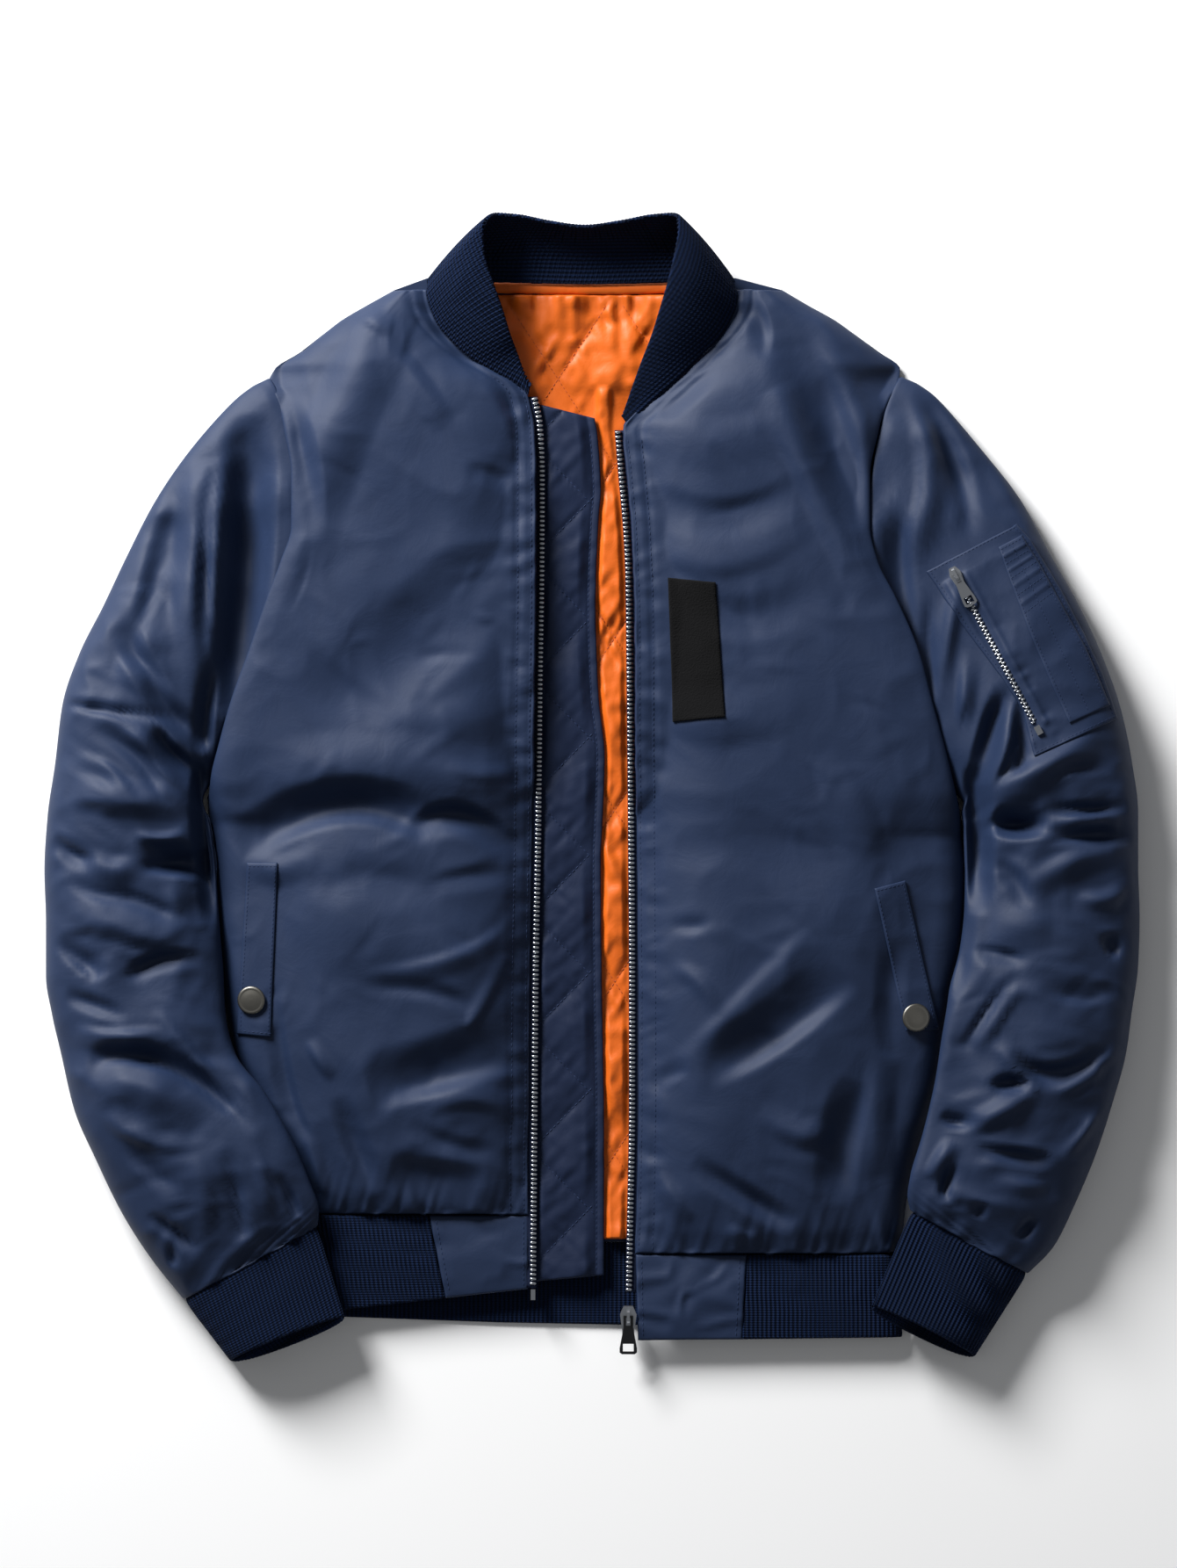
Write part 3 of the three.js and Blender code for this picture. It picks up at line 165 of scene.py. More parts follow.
class Track:
    """Columns of a table as smooth curves that never overshoot the rows."""

    def __init__(self, columns: str, rows: tuple, key: str = "") -> None:
        """Reads the table. With no key column, a row's number is its key."""
        names = columns.split()
        data = np.array(rows, float)
        self.columns = {name: data[:, i] for i, name in enumerate(names) if name != key}
        self.knots = data[:, names.index(key)] if key else np.arange(len(data), dtype=float)
        self.falling = self.knots[-1] < self.knots[0]
        self.last = len(data) - 1

    def _slopes(self, c: Array) -> Array:
        secant = np.diff(c) / np.diff(self.knots)
        a, b = secant[:-1], secant[1:]
        same = a * b > 0
        total = np.where(same, a + b, 1.0)
        inner = np.where(same, 2.0 * a * b / total, 0.0)
        return np.concatenate([[secant[0]], inner, [secant[-1]]])

    def __call__(self, name: str, at: Array) -> Array:
        """The column's value at each key."""
        at = np.asarray(at, float)
        sign = -1.0 if self.falling else 1.0
        i = np.clip(np.searchsorted(self.knots * sign, at * sign, side="right") - 1, 0, self.last - 1)
        c, slope = self.columns[name], self._slopes(self.columns[name])
        span = self.knots[i + 1] - self.knots[i]
        t = np.clip((at - self.knots[i]) / span, 0.0, 1.0)
        t2, t3 = t * t, t * t * t
        return (
            (2 * t3 - 3 * t2 + 1) * c[i]
            + (t3 - 2 * t2 + t) * span * slope[i]
            + (3 * t2 - 2 * t3) * c[i + 1]
            + (t3 - t2) * span * slope[i + 1]
        )


def bend(start: Array, middle: Array, end: Array, steps: int) -> Array:
    """Points of the quadratic curve through start, middle and end."""
    t = np.linspace(0.0, 1.0, steps + 1)[:, None]
    control = 2.0 * middle - (start + end) / 2.0
    return (1 - t) ** 2 * start + 2 * t * (1 - t) * control + t * t * end


def folding(rows: tuple, x: Array, y: Array) -> Array:
    """Height that a list of folds adds on the plan.

    A fold is a curve through three places. Across it the height falls with s, the distance over the half
    width: as (1 - s^2)^2 where the fold is wide, and to a worn crest as (1 - s)^1.6 (1 + 0.8 s) where it is
    narrow. One flank is steeper than the other. Along the fold the height is the sine of the way, so both
    ends run out softly.

    Args:
        rows: Folds as (x0, y0, xm, ym, x1, y1, half width, height).
        x: Plan positions.
        y: Plan positions.

    Returns:
        Heights, the sum over all folds.
    """
    total = np.zeros_like(x)
    for number, (x0, y0, xm, ym, x1, y1, wide, high) in enumerate(rows):
        line = bend(np.array([x0, y0]), np.array([xm, ym]), np.array([x1, y1]), 12)
        lean = 0.3 * math.sin(2.4 * number)
        reach = wide * (1.0 + abs(lean))
        low, top = line.min(0) - reach, line.max(0) + reach
        near = (x > low[0]) & (x < top[0]) & (y > low[1]) & (y < top[1])
        if not near.any():
            continue
        p = np.stack([x[near], y[near]], -1)[:, None]
        step = np.diff(line, axis=0)[None]
        t = np.clip(((p - line[None, :-1]) * step).sum(-1) / (step * step).sum(-1), 0.0, 1.0)
        away = np.linalg.norm(p - line[None, :-1] - t[..., None] * step, axis=-1)
        best = away.argmin(1)
        pick = np.arange(len(best))
        way, rel = step[0, best], p[:, 0] - line[best]
        turned = way[:, 0] * rel[:, 1] - way[:, 1] * rel[:, 0]
        side = np.tanh(turned / np.linalg.norm(way, axis=1) * 4.0 / wide)
        s = np.clip(away[pick, best] / (wide * (1.0 + lean * side)), 0.0, 1.0)
        worn = np.clip((np.sqrt(s * s + 0.012) - 0.11) / 0.896, 0.0, 1.0)
        crest = (1 - worn) ** 1.6 * (1 + 0.8 * worn)
        across = mix(crest, (1 - s * s) ** 2, smooth((wide - 8.0) / 14.0))
        along = (best + t[pick, best]) / 12.0
        total[near] += high * across * np.sin(np.pi * np.clip(along, 0.0, 1.0)) ** 0.9
    return total


@dataclass(frozen=True)
class Creases:
    """Small soft creases of one area, strewn with a seed: where, how many, and which way they run."""

    low: tuple[float, float]
    high: tuple[float, float]
    count: int
    heading: float
    spread: float
    length: tuple[float, float]
    wide: tuple[float, float]
    height: tuple[float, float]
    seed: int

    def rows(self) -> tuple:
        """The creases as rows of `folding`."""
        rng = np.random.default_rng(self.seed)
        middle = rng.uniform(self.low, self.high, (self.count, 2))
        turn = np.radians(self.heading + rng.uniform(-self.spread, self.spread, self.count))
        half = rng.uniform(*self.length, self.count) / 2
        away = np.stack([np.cos(turn), np.sin(turn)], -1) * half[:, None]
        sag = rng.uniform(-0.16, 0.16, self.count)[:, None] * np.stack([-away[:, 1], away[:, 0]], -1)
        wide = rng.uniform(*self.wide, self.count)
        height = rng.uniform(*self.height, self.count) * rng.choice([-1, 1], self.count)
        return tuple(np.column_stack([middle - away, middle + sag, middle + away, wide, height]).tolist())


def grid_normals(points: Array, ring: bool) -> Array:
    """Unit normals of a grid: up on a panel, away from each ring's middle on a tube."""
    if ring:
        across = np.roll(points, -1, 1) - np.roll(points, 1, 1)
    else:
        across = np.gradient(points, axis=1)
    n = np.cross(across, np.gradient(points, axis=0))
    n /= np.linalg.norm(n, axis=-1, keepdims=True) + 1e-12
    outward = (n * (points - points.mean(1, keepdims=True))).sum() if ring else n[..., 2].sum()
    return n if outward > 0 else -n


def new_mesh(name: str, points: Array, quads: Array, uv: Array | None = None) -> bpy.types.Object:
    """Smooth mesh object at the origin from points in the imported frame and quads.

    Args:
        name: Name of the object.
        points: Vertices, in metres.
        quads: Corner indices, four a row.
        uv: Distances across and along the cloth at each vertex, in metres.

    Returns:
        The object, linked to the scene.
    """
    mesh = bpy.data.meshes.new(name)
    mesh.vertices.add(len(points))
    mesh.vertices.foreach_set("co", points.astype(np.float32).ravel())
    mesh.loops.add(quads.size)
    mesh.loops.foreach_set("vertex_index", quads.astype(np.int32).ravel())
    mesh.polygons.add(len(quads))
    mesh.polygons.foreach_set("loop_start", np.arange(0, quads.size, 4, dtype=np.int32))
    mesh.polygons.foreach_set("use_smooth", np.ones(len(quads), bool))
    if uv is not None:
        layer = mesh.uv_layers.new(name="cloth")
        layer.data.foreach_set("uv", uv[quads.ravel()].astype(np.float32).ravel())
    mesh.update(calc_edges=True)
    obj = bpy.data.objects.new(name, mesh)
    bpy.context.scene.collection.objects.link(obj)
    return obj


def shell_quads(rows: int, columns: int, ring: bool) -> Array:
    """Quads of a closed wall: an outer grid, an inner grid behind it, and rims that join them."""
    index = np.arange(rows * columns).reshape(rows, columns)
    wrap = np.concatenate([index, index[:, :1]], 1) if ring else index
    a, b, c, d = wrap[:-1, :-1], wrap[:-1, 1:], wrap[1:, 1:], wrap[1:, :-1]
    outer = np.stack([a, b, c, d], -1).reshape(-1, 4)
    under = rows * columns
    inner = outer[:, ::-1] + under
    rims = [(wrap[0, 1:], wrap[0, :-1]), (wrap[-1, :-1], wrap[-1, 1:])]
    if not ring:
        rims += [(index[:-1, 0], index[1:, 0]), (index[1:, -1], index[:-1, -1])]
    bands = [np.stack([p, q, q + under, p + under], -1) for p, q in rims]
    return np.concatenate([outer, inner, *bands])


def cloth_uv(points: Array) -> Array:
    """Distances across and along a grid, measured on it, in metres."""
    across = np.linalg.norm(np.diff(points, axis=1, prepend=points[:, :1]), axis=-1).cumsum(1)
    along = np.linalg.norm(np.diff(points, axis=0, prepend=points[:1]), axis=-1).cumsum(0)
    return np.stack([across, along], -1) * MM


def closed_shell(name: str, outer: Array, thick: float, ring: bool = False, floor: float = 0.0,
                 inner: Array | None = None) -> bpy.types.Object:
    """Thin closed shell of cloth under a grid of outer points, with rounded rims.

    The inner side is the outer one moved in along its normals by the thickness, and no lower than the
    floor. At a rim the two sides meet in a half round of the wall's own thickness.

    Args:
        name: Name of the object.
        outer: Outer points in the draft's millimetres, rows by columns.
        thick: Wall thickness in millimetres.
        ring: True if each row closes on itself.
        floor: Lowest height of the inner side.
        inner: Inner points, where they aren't an offset.

    Returns:
        The object.
    """
    normals = grid_normals(outer, ring)
    under = outer - normals * thick if inner is None else inner.copy()
    under[..., 2] = np.maximum(under[..., 2], floor)
    depth = rim_depth(outer, ring) * min(thick, 3.0) / 2.0
    top = outer + (under - outer) * (depth / thick)[..., None]
    low = under + (outer - under) * (depth / thick)[..., None] * 0.6
    points = Plan.place(np.concatenate([top.reshape(-1, 3), low.reshape(-1, 3)]))
    uv = np.tile(cloth_uv(outer).reshape(-1, 2), (2, 1))
    quads = shell_quads(*outer.shape[:2], ring)
    if signed_volume(points, quads) < 0:
        quads = quads[:, ::-1]
    return new_mesh(name, points, quads, uv)


def flat_under(points: Array, height: float) -> Array:
    """Level inner side below a grid, at a height."""
    under = points.copy()
    under[..., 2] = height
    return under


def signed_volume(points: Array, quads: Array) -> float:
    """Volume inside a closed mesh, negative if its faces point in."""
    a, b, c, d = (points[quads[:, k]] for k in range(4))
    return float((np.cross(b, c) * a).sum() + (np.cross(c, d) * a).sum()) / 6.0


def rim_depth(points: Array, ring: bool, radius: float = 1.6) -> Array:
    """How far a wall is rounded off at its rims: 1 on the rim and 0 past the radius."""
    along = np.linalg.norm(np.diff(points, axis=0, prepend=points[:1]), axis=-1).cumsum(0)
    away = np.minimum(along, along[-1:] - along)
    if not ring:
        across = np.linalg.norm(np.diff(points, axis=1, prepend=points[:, :1]), axis=-1).cumsum(1)
        away = np.minimum(away, np.minimum(across, across[:, -1:] - across))
    return 1.0 - roll(away / radius)


class Drape:
    """Drops plan positions on the cloth of some objects."""

    def __init__(self, *objects: bpy.types.Object) -> None:
        """Builds one search tree over the objects' faces."""
        points, faces = [], []
        for obj in objects:
            start = len(points)
            points += [v.co.copy() for v in obj.data.vertices]
            faces += [[start + i for i in p.vertices] for p in obj.data.polygons]
        self.tree = BVHTree.FromPolygons(points, faces)

    def drop(self, plan: Array) -> tuple[Array, Array]:
        """Highest cloth below each plan position.

        Args:
            plan: Positions in the draft's millimetres, any shape by 2.

        Returns:
            Points in the draft's millimetres and unit normals, each of that shape by 3.
        """
        flat = np.column_stack([plan.reshape(-1, 2), np.zeros(plan[..., 0].size)])
        world = Plan.place(flat)
        down = Vector((0.0, 0.0, -1.0))
        hits, normals = np.zeros_like(world), np.tile([0.0, 0.0, 1.0], (len(world), 1))
        missed = []
        for i, (x, y, _) in enumerate(world.tolist()):
            place, normal, *_ = self.tree.ray_cast(Vector((x, y, 1.0)), down)
            if place is None:
                missed.append(i)
                continue
            hits[i], normals[i] = place, normal
        kept = np.setdiff1d(np.arange(len(world)), missed)
        for i in missed:
            near = kept[np.abs(world[kept, :2] - world[i, :2]).sum(1).argmin()]
            hits[i] = (world[i, 0], world[i, 1], hits[near, 2])
            normals[i] = normals[near]
        shape = (*plan.shape[:-1], 3)
        return Plan.draft(hits).reshape(shape), normals.reshape(shape)


def resample(line: Array, pitch: float) -> Array:
    """Points at an even pitch along a polyline."""
    run = np.concatenate([[0.0], np.linalg.norm(np.diff(line, axis=0), axis=1).cumsum()])
    at = np.arange(0.5 * pitch, run[-1], pitch)
    return np.column_stack([np.interp(at, run, line[:, k]) for k in range(line.shape[1])])


def scatter(name: str, template: Array, quads: Array, places: Array, along: Array,
            up: Array) -> bpy.types.Object:
    """One mesh of many copies of a template.

    Each copy's local X runs along the line, Z along the normal and Y across.

    Args:
        name: Name of the object.
        template: Vertices of one copy, in millimetres.
        quads: Faces of one copy.
        places: Origins of the copies in the draft's millimetres.
        along: Direction of each copy's X.
        up: Direction of each copy's Z.

    Returns:
        The object.
    """
    up = up / np.linalg.norm(up, axis=1, keepdims=True)
    x = along - (along * up).sum(1, keepdims=True) * up
    x /= np.linalg.norm(x, axis=1, keepdims=True) + 1e-12
    basis = np.stack([x, np.cross(up, x), up], 1)
    points = places[:, None] + np.einsum("tk,nkc->ntc", template, basis)
    faces = quads[None] + (np.arange(len(places)) * len(template))[:, None, None]
    return new_mesh(name, Plan.place(points.reshape(-1, 3)), faces.reshape(-1, 4))


def revolve(profile: Array, sides: int) -> tuple[Array, Array]:
    """Closed body of revolution about Z from a profile of (radius, height), near the axis at both ends."""
    turn = np.arange(sides) * 2 * np.pi / sides
    r, z = profile[:, :1], profile[:, 1:]
    points = np.stack([r * np.cos(turn), r * np.sin(turn), z + 0 * turn], -1).reshape(-1, 3)
    index = np.arange(len(points)).reshape(len(profile), sides)
    nxt = np.roll(index, -1, 1)
    quads = np.stack([index[:-1], nxt[:-1], nxt[1:], index[1:]], -1).reshape(-1, 4)
    return points, quads


def stitch_template(length: float, radius: float) -> tuple[Array, Array]:
    """One stitch: a flat spindle along X, half sunk in the cloth."""
    rings = np.array([[-0.5, 0.15], [-0.32, 0.9], [0.0, 1.0], [0.32, 0.9], [0.5, 0.15]])
    points, quads = revolve(np.column_stack([rings[:, 1] * radius, rings[:, 0] * length]), 6)
    return points[:, [2, 0, 1]] * [1.0, 1.0, 0.8], quads


def tooth_template(long: float, wide: float, tall: float) -> tuple[Array, Array]:
    """One zip tooth: a block with its top edges worn round, as six rings of twelve corners."""
    sides = 12
    turn = np.linspace(0, 2 * np.pi, sides, endpoint=False)
    square = np.stack([np.cos(turn), np.sin(turn)], -1)
    square /= np.abs(square).max(1, keepdims=True) ** 0.8
    levels = np.array([[0.0, 0.9], [0.0, 1.0], [0.62, 1.0], [0.9, 0.86], [1.0, 0.5], [1.0, 0.02]])
    points = np.concatenate([
        np.column_stack([square * [long / 2 * s, wide / 2 * s], np.full(sides, z * tall)]) for z, s in levels
    ])
    index = np.arange(len(points)).reshape(len(levels), sides)
    nxt = np.roll(index, -1, 1)
    return points, np.stack([index[:-1], nxt[:-1], nxt[1:], index[1:]], -1).reshape(-1, 4)


class Nodes:
    """Builds a shader node tree from short calls."""

    def __init__(self, tree: bpy.types.NodeTree) -> None:
        """Wraps a tree."""
        self.tree = tree

    def add(self, kind: str, values: dict | None = None, **settings: object) -> bpy.types.Node:
        """New node; values are set on its inputs or linked to them where they are sockets."""
        node = self.tree.nodes.new(kind)
        for key, value in settings.items():
            setattr(node, key, value)
        for key, value in (values or {}).items():
            if isinstance(value, bpy.types.NodeSocket):
                self.tree.links.new(value, node.inputs[key])
            else:
                node.inputs[key].default_value = value
        return node

    def math(self, operation: str, a: object, b: object = 0.0) -> bpy.types.NodeSocket:
        """Result of a math node."""
        return self.add("ShaderNodeMath", {0: a, 1: b}, operation=operation).outputs[0]


class Effects:
    """Shared shader node groups, each made once."""

    made: dict[str, bpy.types.NodeTree] = {}

    @classmethod
    def _group(cls, name: str, inputs: dict[str, float], outputs: tuple[str, ...]) -> tuple:
        tree = bpy.data.node_groups.new(name, "ShaderNodeTree")
        for label, value in inputs.items():
            socket = tree.interface.new_socket(label, in_out="INPUT", socket_type="NodeSocketFloat")
            socket.default_value = value
        for label in outputs:
            tree.interface.new_socket(label, in_out="OUTPUT", socket_type="NodeSocketFloat")
        nodes = Nodes(tree)
        return tree, nodes, nodes.add("NodeGroupInput"), nodes.add("NodeGroupOutput")

    @classmethod
    def crinkle(cls) -> bpy.types.NodeTree:
        """Fine crinkles of thin nylon: two sizes of stretched noise as a height, and the broad noise again as a
        mask of painted shade and light, dark in the crinkles' hollows and light on their crests.
        """
        if "crinkle" not in cls.made:
            tree, n, inp, out = cls._group("crinkle", {"Scale": 60.0, "Stretch": 1.0}, ("Height", "CrinkleShade"))
            place = n.add("ShaderNodeTexCoord").outputs["Object"]
            broad = n.add("ShaderNodeTexNoise", {"Vector": place, "Scale": inp.outputs["Scale"], "Detail": 4.0,
                                                 "Roughness": 0.55, "Distortion": inp.outputs["Stretch"]})
            fine_scale = n.math("MULTIPLY", inp.outputs["Scale"], 9.0)
            fine = n.add("ShaderNodeTexNoise", {"Vector": place, "Scale": fine_scale, "Detail": 3.0})
            both = n.math("ADD", n.math("MULTIPLY", broad.outputs[0], 0.85),
                          n.math("MULTIPLY", fine.outputs[0], 0.15))
            tree.links.new(both, out.inputs["Height"])
            # Painted shade and light: the broad noise, low in the crinkles' hollows, sets the colour's value.
            tree.links.new(broad.outputs[0], out.inputs["CrinkleShade"])
            cls.made["crinkle"] = tree
        return cls.made["crinkle"]

    @classmethod
    def rows(cls) -> tuple:
        """Knitted stitches: short waves along the cloth on each rib, as a height, and a mask of the grooves for
        painted shade.
        """
        if "rows" not in cls.made:
            tree, n, inp, out = cls._group("knit rows", {"Rib": 0.003, "Row": 0.0016}, ("Height", "GrooveShade"))
            uv = n.add("ShaderNodeSeparateXYZ", {0: n.add("ShaderNodeUVMap", uv_map="cloth").outputs[0]})
            across = n.math("MULTIPLY", n.math("DIVIDE", uv.outputs[0], inp.outputs["Rib"]), 2 * math.pi)
            along = n.math("MULTIPLY", n.math("DIVIDE", uv.outputs[1], inp.outputs["Row"]), 2 * math.pi)
            rib = n.math("COSINE", across)
            slant = n.math("ADD", along, n.math("ABSOLUTE", n.math("SINE", across)))
            loop = n.math("SINE", slant)
            height = n.math("ADD", n.math("MULTIPLY", rib, 0.6), n.math("MULTIPLY", loop, 0.4))
            tree.links.new(height, out.inputs["Height"])
            # Painted shade: 1 in the grooves between ribs, 0 on the ribs.
            tree.links.new(n.math("MULTIPLY", n.math("SUBTRACT", 1.0, rib), 0.5), out.inputs["GrooveShade"])
            cls.made["rows"] = tree
        return cls.made["rows"]


def linear(rgb: tuple[int, int, int]) -> tuple[float, float, float, float]:
    """Linear colour of an sRGB one in 0..255."""
    s = np.array(rgb) / 255.0
    value = np.where(s <= 0.04045, s / 12.92, ((s + 0.055) / 1.055) ** 2.4)
    return (*value.tolist(), 1.0)


@dataclass(frozen=True)
class Finish:
    """One finish: the slot it belongs to, its colour and how it shines."""

    name: str
    slot: Slot
    colour: tuple[int, int, int]
    roughness: float
    metallic: float = 0.0
    sheen: float = 0.0
    specular: float = 0.5

    def _start(self) -> tuple[bpy.types.Material, Nodes, bpy.types.Node]:
        material = bpy.data.materials.new(self.name)
        material.use_nodes = True
        nodes = Nodes(material.node_tree)
        shader = material.node_tree.nodes["Principled BSDF"]
        shader.inputs["Base Color"].default_value = linear(self.colour)
        shader.inputs["Roughness"].default_value = self.roughness
        shader.inputs["Metallic"].default_value = self.metallic
        shader.inputs["Sheen Weight"].default_value = self.sheen
        shader.inputs["Specular IOR Level"].default_value = self.specular
        return material, nodes, shader

    def _bump(self, nodes: Nodes, shader: bpy.types.Node, height: bpy.types.NodeSocket, depth: float) -> None:
        bump = nodes.add("ShaderNodeBump", {"Height": height, "Strength": 1.0, "Distance": depth})
        nodes.tree.links.new(bump.outputs[0], shader.inputs["Normal"])

    def material(self) -> bpy.types.Material:
        """Plain finish."""
        return self._start()[0]


@dataclass(frozen=True)
class Satin(Finish):
    """Thin woven nylon: crinkled, with painted shade and light that follow the crinkles."""

    crinkle: float = 0.00035
    scale: float = 38.0

    def material(self) -> bpy.types.Material:
        """Satin with crinkle bump, and its colour darker in the crinkles' hollows and lighter on their crests:
        painted shade and light.
        """
        material, nodes, shader = self._start()
        group = nodes.add("ShaderNodeGroup", node_tree=Effects.crinkle())
        group.inputs["Scale"].default_value = self.scale
        group.inputs["Stretch"].default_value = 1.4
        self._bump(nodes, shader, group.outputs["Height"], self.crinkle)
        # Painted shade and light: value from 0.9 in the crinkles' hollows to 1.1 on their crests.
        crinkle_shade = nodes.add("ShaderNodeHueSaturation", {"Color": linear(self.colour)})
        value = nodes.add("ShaderNodeMapRange", {0: group.outputs["CrinkleShade"], 3: 0.9, 4: 1.1})
        nodes.tree.links.new(value.outputs[0], crinkle_shade.inputs["Value"])
        nodes.tree.links.new(crinkle_shade.outputs[0], shader.inputs["Base Color"])
        return material


@dataclass(frozen=True)
class RibKnit(Finish):
    """Rib knit: painted shade in the grooves between ribs, and rows of loops on them."""

    rib: float = RIB_PITCH * MM
    depth: float = 0.0004

    def material(self) -> bpy.types.Material:
        """Knit with row bump, and the colour darkened in the grooves as painted shade."""
        material, nodes, shader = self._start()
        group = nodes.add("ShaderNodeGroup", node_tree=Effects.rows())
        group.inputs["Rib"].default_value = self.rib
        group.inputs["Row"].default_value = self.rib * 0.55
        self._bump(nodes, shader, group.outputs["Height"], self.depth)
        # Painted groove shade: the knit colour at 0.55 in the grooves.
        dark = tuple(0.55 * c for c in self.colour)
        blend = nodes.add("ShaderNodeMix", {"Factor": group.outputs["GrooveShade"]}, data_type="RGBA")
        blend.inputs[6].default_value = linear(self.colour)
        blend.inputs[7].default_value = linear(dark)
        nodes.tree.links.new(blend.outputs[2], shader.inputs["Base Color"])
        return material


@dataclass(frozen=True)
class Pile(Finish):
    """Loop pile: coarse speckled bump."""

    def material(self) -> bpy.types.Material:
        """Pile with noise bump."""
        material, nodes, shader = self._start()
        place = nodes.add("ShaderNodeTexCoord").outputs["Object"]
        noise = nodes.add("ShaderNodeTexNoise", {"Vector": place, "Scale": 900.0, "Detail": 2.0})
        self._bump(nodes, shader, noise.outputs[0], 0.0006)
        return material


class Finishes:
    """The jacket's finishes."""

    shell = Satin("shell nylon", Slot.SHELL, (25, 40, 68), 0.62, specular=0.28)
    # Shell nylon darkened for the wind flap: painted shade, as the flap lies low under the front's edge.
    shaded_flap_nylon = Satin("flap nylon with painted shade", Slot.SHELL, (19, 31, 57), 0.62, specular=0.22)
    tape = Satin("zip tape", Slot.SHELL, (18, 27, 50), 0.8, specular=0.15, crinkle=0.00005, scale=200.0)
    thread = Finish("shell thread", Slot.SHELL, (30, 44, 74), 0.6, specular=0.2)
    knit = RibKnit("rib knit", Slot.KNIT, (16, 30, 58), 0.95, specular=0.1)
    lining = Satin("lining nylon", Slot.LINING, (206, 94, 22), 0.5, specular=0.3, crinkle=0.0004, scale=60.0)
    lining_thread = Finish("lining thread", Slot.LINING, (170, 72, 18), 0.6)
    loop = Pile("loop tape", Slot.LOOP, (14, 14, 15), 0.95, sheen=0.03, specular=0.1)
    steel = Finish("zip steel", Slot.STEEL, (196, 200, 206), 0.28, metallic=1.0)
    dark = Finish("dark steel", Slot.DARK, (120, 118, 112), 0.42, metallic=1.0)
    black = Finish("black enamel", Slot.DARK, (14, 15, 18), 0.35)
    cache: dict[str, bpy.types.Material] = {}

    @classmethod
    def use(cls, obj: bpy.types.Object, finish: Finish) -> bpy.types.Object:
        """Gives an object a finish."""
        if finish.name not in cls.cache:
            cls.cache[finish.name] = finish.material()
        obj.data.materials.clear()
        obj.data.materials.append(cls.cache[finish.name])
        return obj


@dataclass
class Piece:
    """One sub-assembly: what it builds and the CAD nodes it stands for."""

    name: str
    made: list[bpy.types.Object] = field(default_factory=list, init=False)

    def keep(self, obj: bpy.types.Object, finish: Finish, *nodes: str) -> bpy.types.Object:
        """Finishes an object, lets it ride the jacket and hides the nodes that it stands for."""
        Finishes.use(obj, finish)
        if nodes:
            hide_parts(*nodes)
        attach(obj, JACKET_BODY)
        self.made.append(obj)
        return obj

    def stitch(self, name: str, drape: Drape, lines: list[Array], finish: Finish,
               pitch: float = 3.4, radius: float = 0.34) -> None:
        """Topstitching along plan lines, dropped on the cloth."""
        places, along, up = [], [], []
        for line in lines:
            at = resample(line, pitch)
            if len(at) < 2:
                continue
            point, normal = drape.drop(at)
            places.append(point + normal * radius * 0.1)
            along.append(np.gradient(point, axis=0))
            up.append(normal)
        template, quads = stitch_template(pitch * 0.72, radius)
        obj = scatter(name, template, quads, *(np.concatenate(part) for part in (places, along, up)))
        self.keep(obj, finish)

    def report(self) -> None:
        """Logs what was made."""
        faces = sum(len(obj.data.polygons) for obj in self.made)
        log.info("%s: %d pieces, %d faces", self.name, len(self.made), faces)


FRONT_COLUMNS = "y side front edge crown rim"
FRONT_RIGHT_ROWS = (
    (329, -131, -109, 3.3, 14, 12), (319, -149, -107, 3.3, 17, 12), (309, -166, -103, 3.3, 20, 12),
    (299, -179, -95, 3.3, 22, 12), (288, -193, -83, 3.3, 24, 12), (277, -210, -65, 3.3, 26, 13),
    (266, -215, -47, 8, 28, 14), (259, -210, -42, 13, 29, 15), (236, -204, -38, 18, 31, 15),
    (206, -199, -37, 23, 32, 15), (172, -199, -37, 26, 33, 15), (149, -206, -37, 27, 34, 15),
    (125, -215, -37, 27.5, 34, 15), (90, -227, -37.5, 27.5, 35, 15), (56, -239, -38, 27, 36, 15),
    (27, -247, -38.5, 25, 36, 15), (6, -252, -38.5, 21, 36, 15), (-11, -253.5, -39, 11, 35, 15),
    (-26, -253, -39, 3.3, 34, 15), (-60, -250, -39.5, 3.3, 36, 15), (-118, -246, -40.5, 3.3, 37, 15),
    (-176, -238, -41, 3.3, 36, 15), (-205, -224, -41, 3.3, 34, 15), (-240, -204, -42, 3.3, 30, 15),
    (-263, -193, -42, 3.3, 25, 15), (-275, -188.5, -42, 3.3, 20, 15), (-282.5, -187, -42, 3.3, 16, 15),
)
FRONT_LEFT_ROWS = (
    (329, 126, 95, 3.3, 14, 12), (319, 143, 94, 3.3, 17, 12), (309, 161, 90, 3.3, 20, 12),
    (299, 175, 83, 3.3, 22, 12), (288, 190, 72, 3.3, 24, 12), (277, 204, 61, 3.3, 26, 12),
    (266, 203, 48, 8, 28, 12), (259, 198, 40, 13, 29, 12), (247, 193, 28, 16, 30, 12),
    (236, 190, 20.5, 18, 31, 12), (206, 184, 23, 22, 32, 12), (172, 184, 26, 25, 33, 12),
    (149, 189, 27, 27, 34, 12), (125, 201, 28, 28.5, 34, 12), (90, 216, 28.5, 29, 35, 12),
    (56, 225, 28.5, 28.5, 36, 12), (27, 233, 28.5, 26, 36, 12), (-2, 240, 29, 22, 36, 12),
    (-20, 244, 29, 12, 35, 12), (-34, 246.5, 29, 3.3, 34, 12), (-66, 248, 29.5, 3.3, 36, 12),
    (-95, 246, 29.5, 3.3, 37, 12), (-130, 241, 30, 3.3, 37, 12), (-176, 234, 30, 3.3, 36, 12),
    (-211, 225, 30, 3.3, 34, 12), (-246, 215, 29.5, 3.3, 31, 12), (-275, 208, 29, 3.3, 27, 12),
    (-292, 206, 28.5, 3.3, 23, 12), (-301, 205, 28, 3.3, 19, 12), (-308.5, 204.5, 28, 3.3, 16, 12),
)
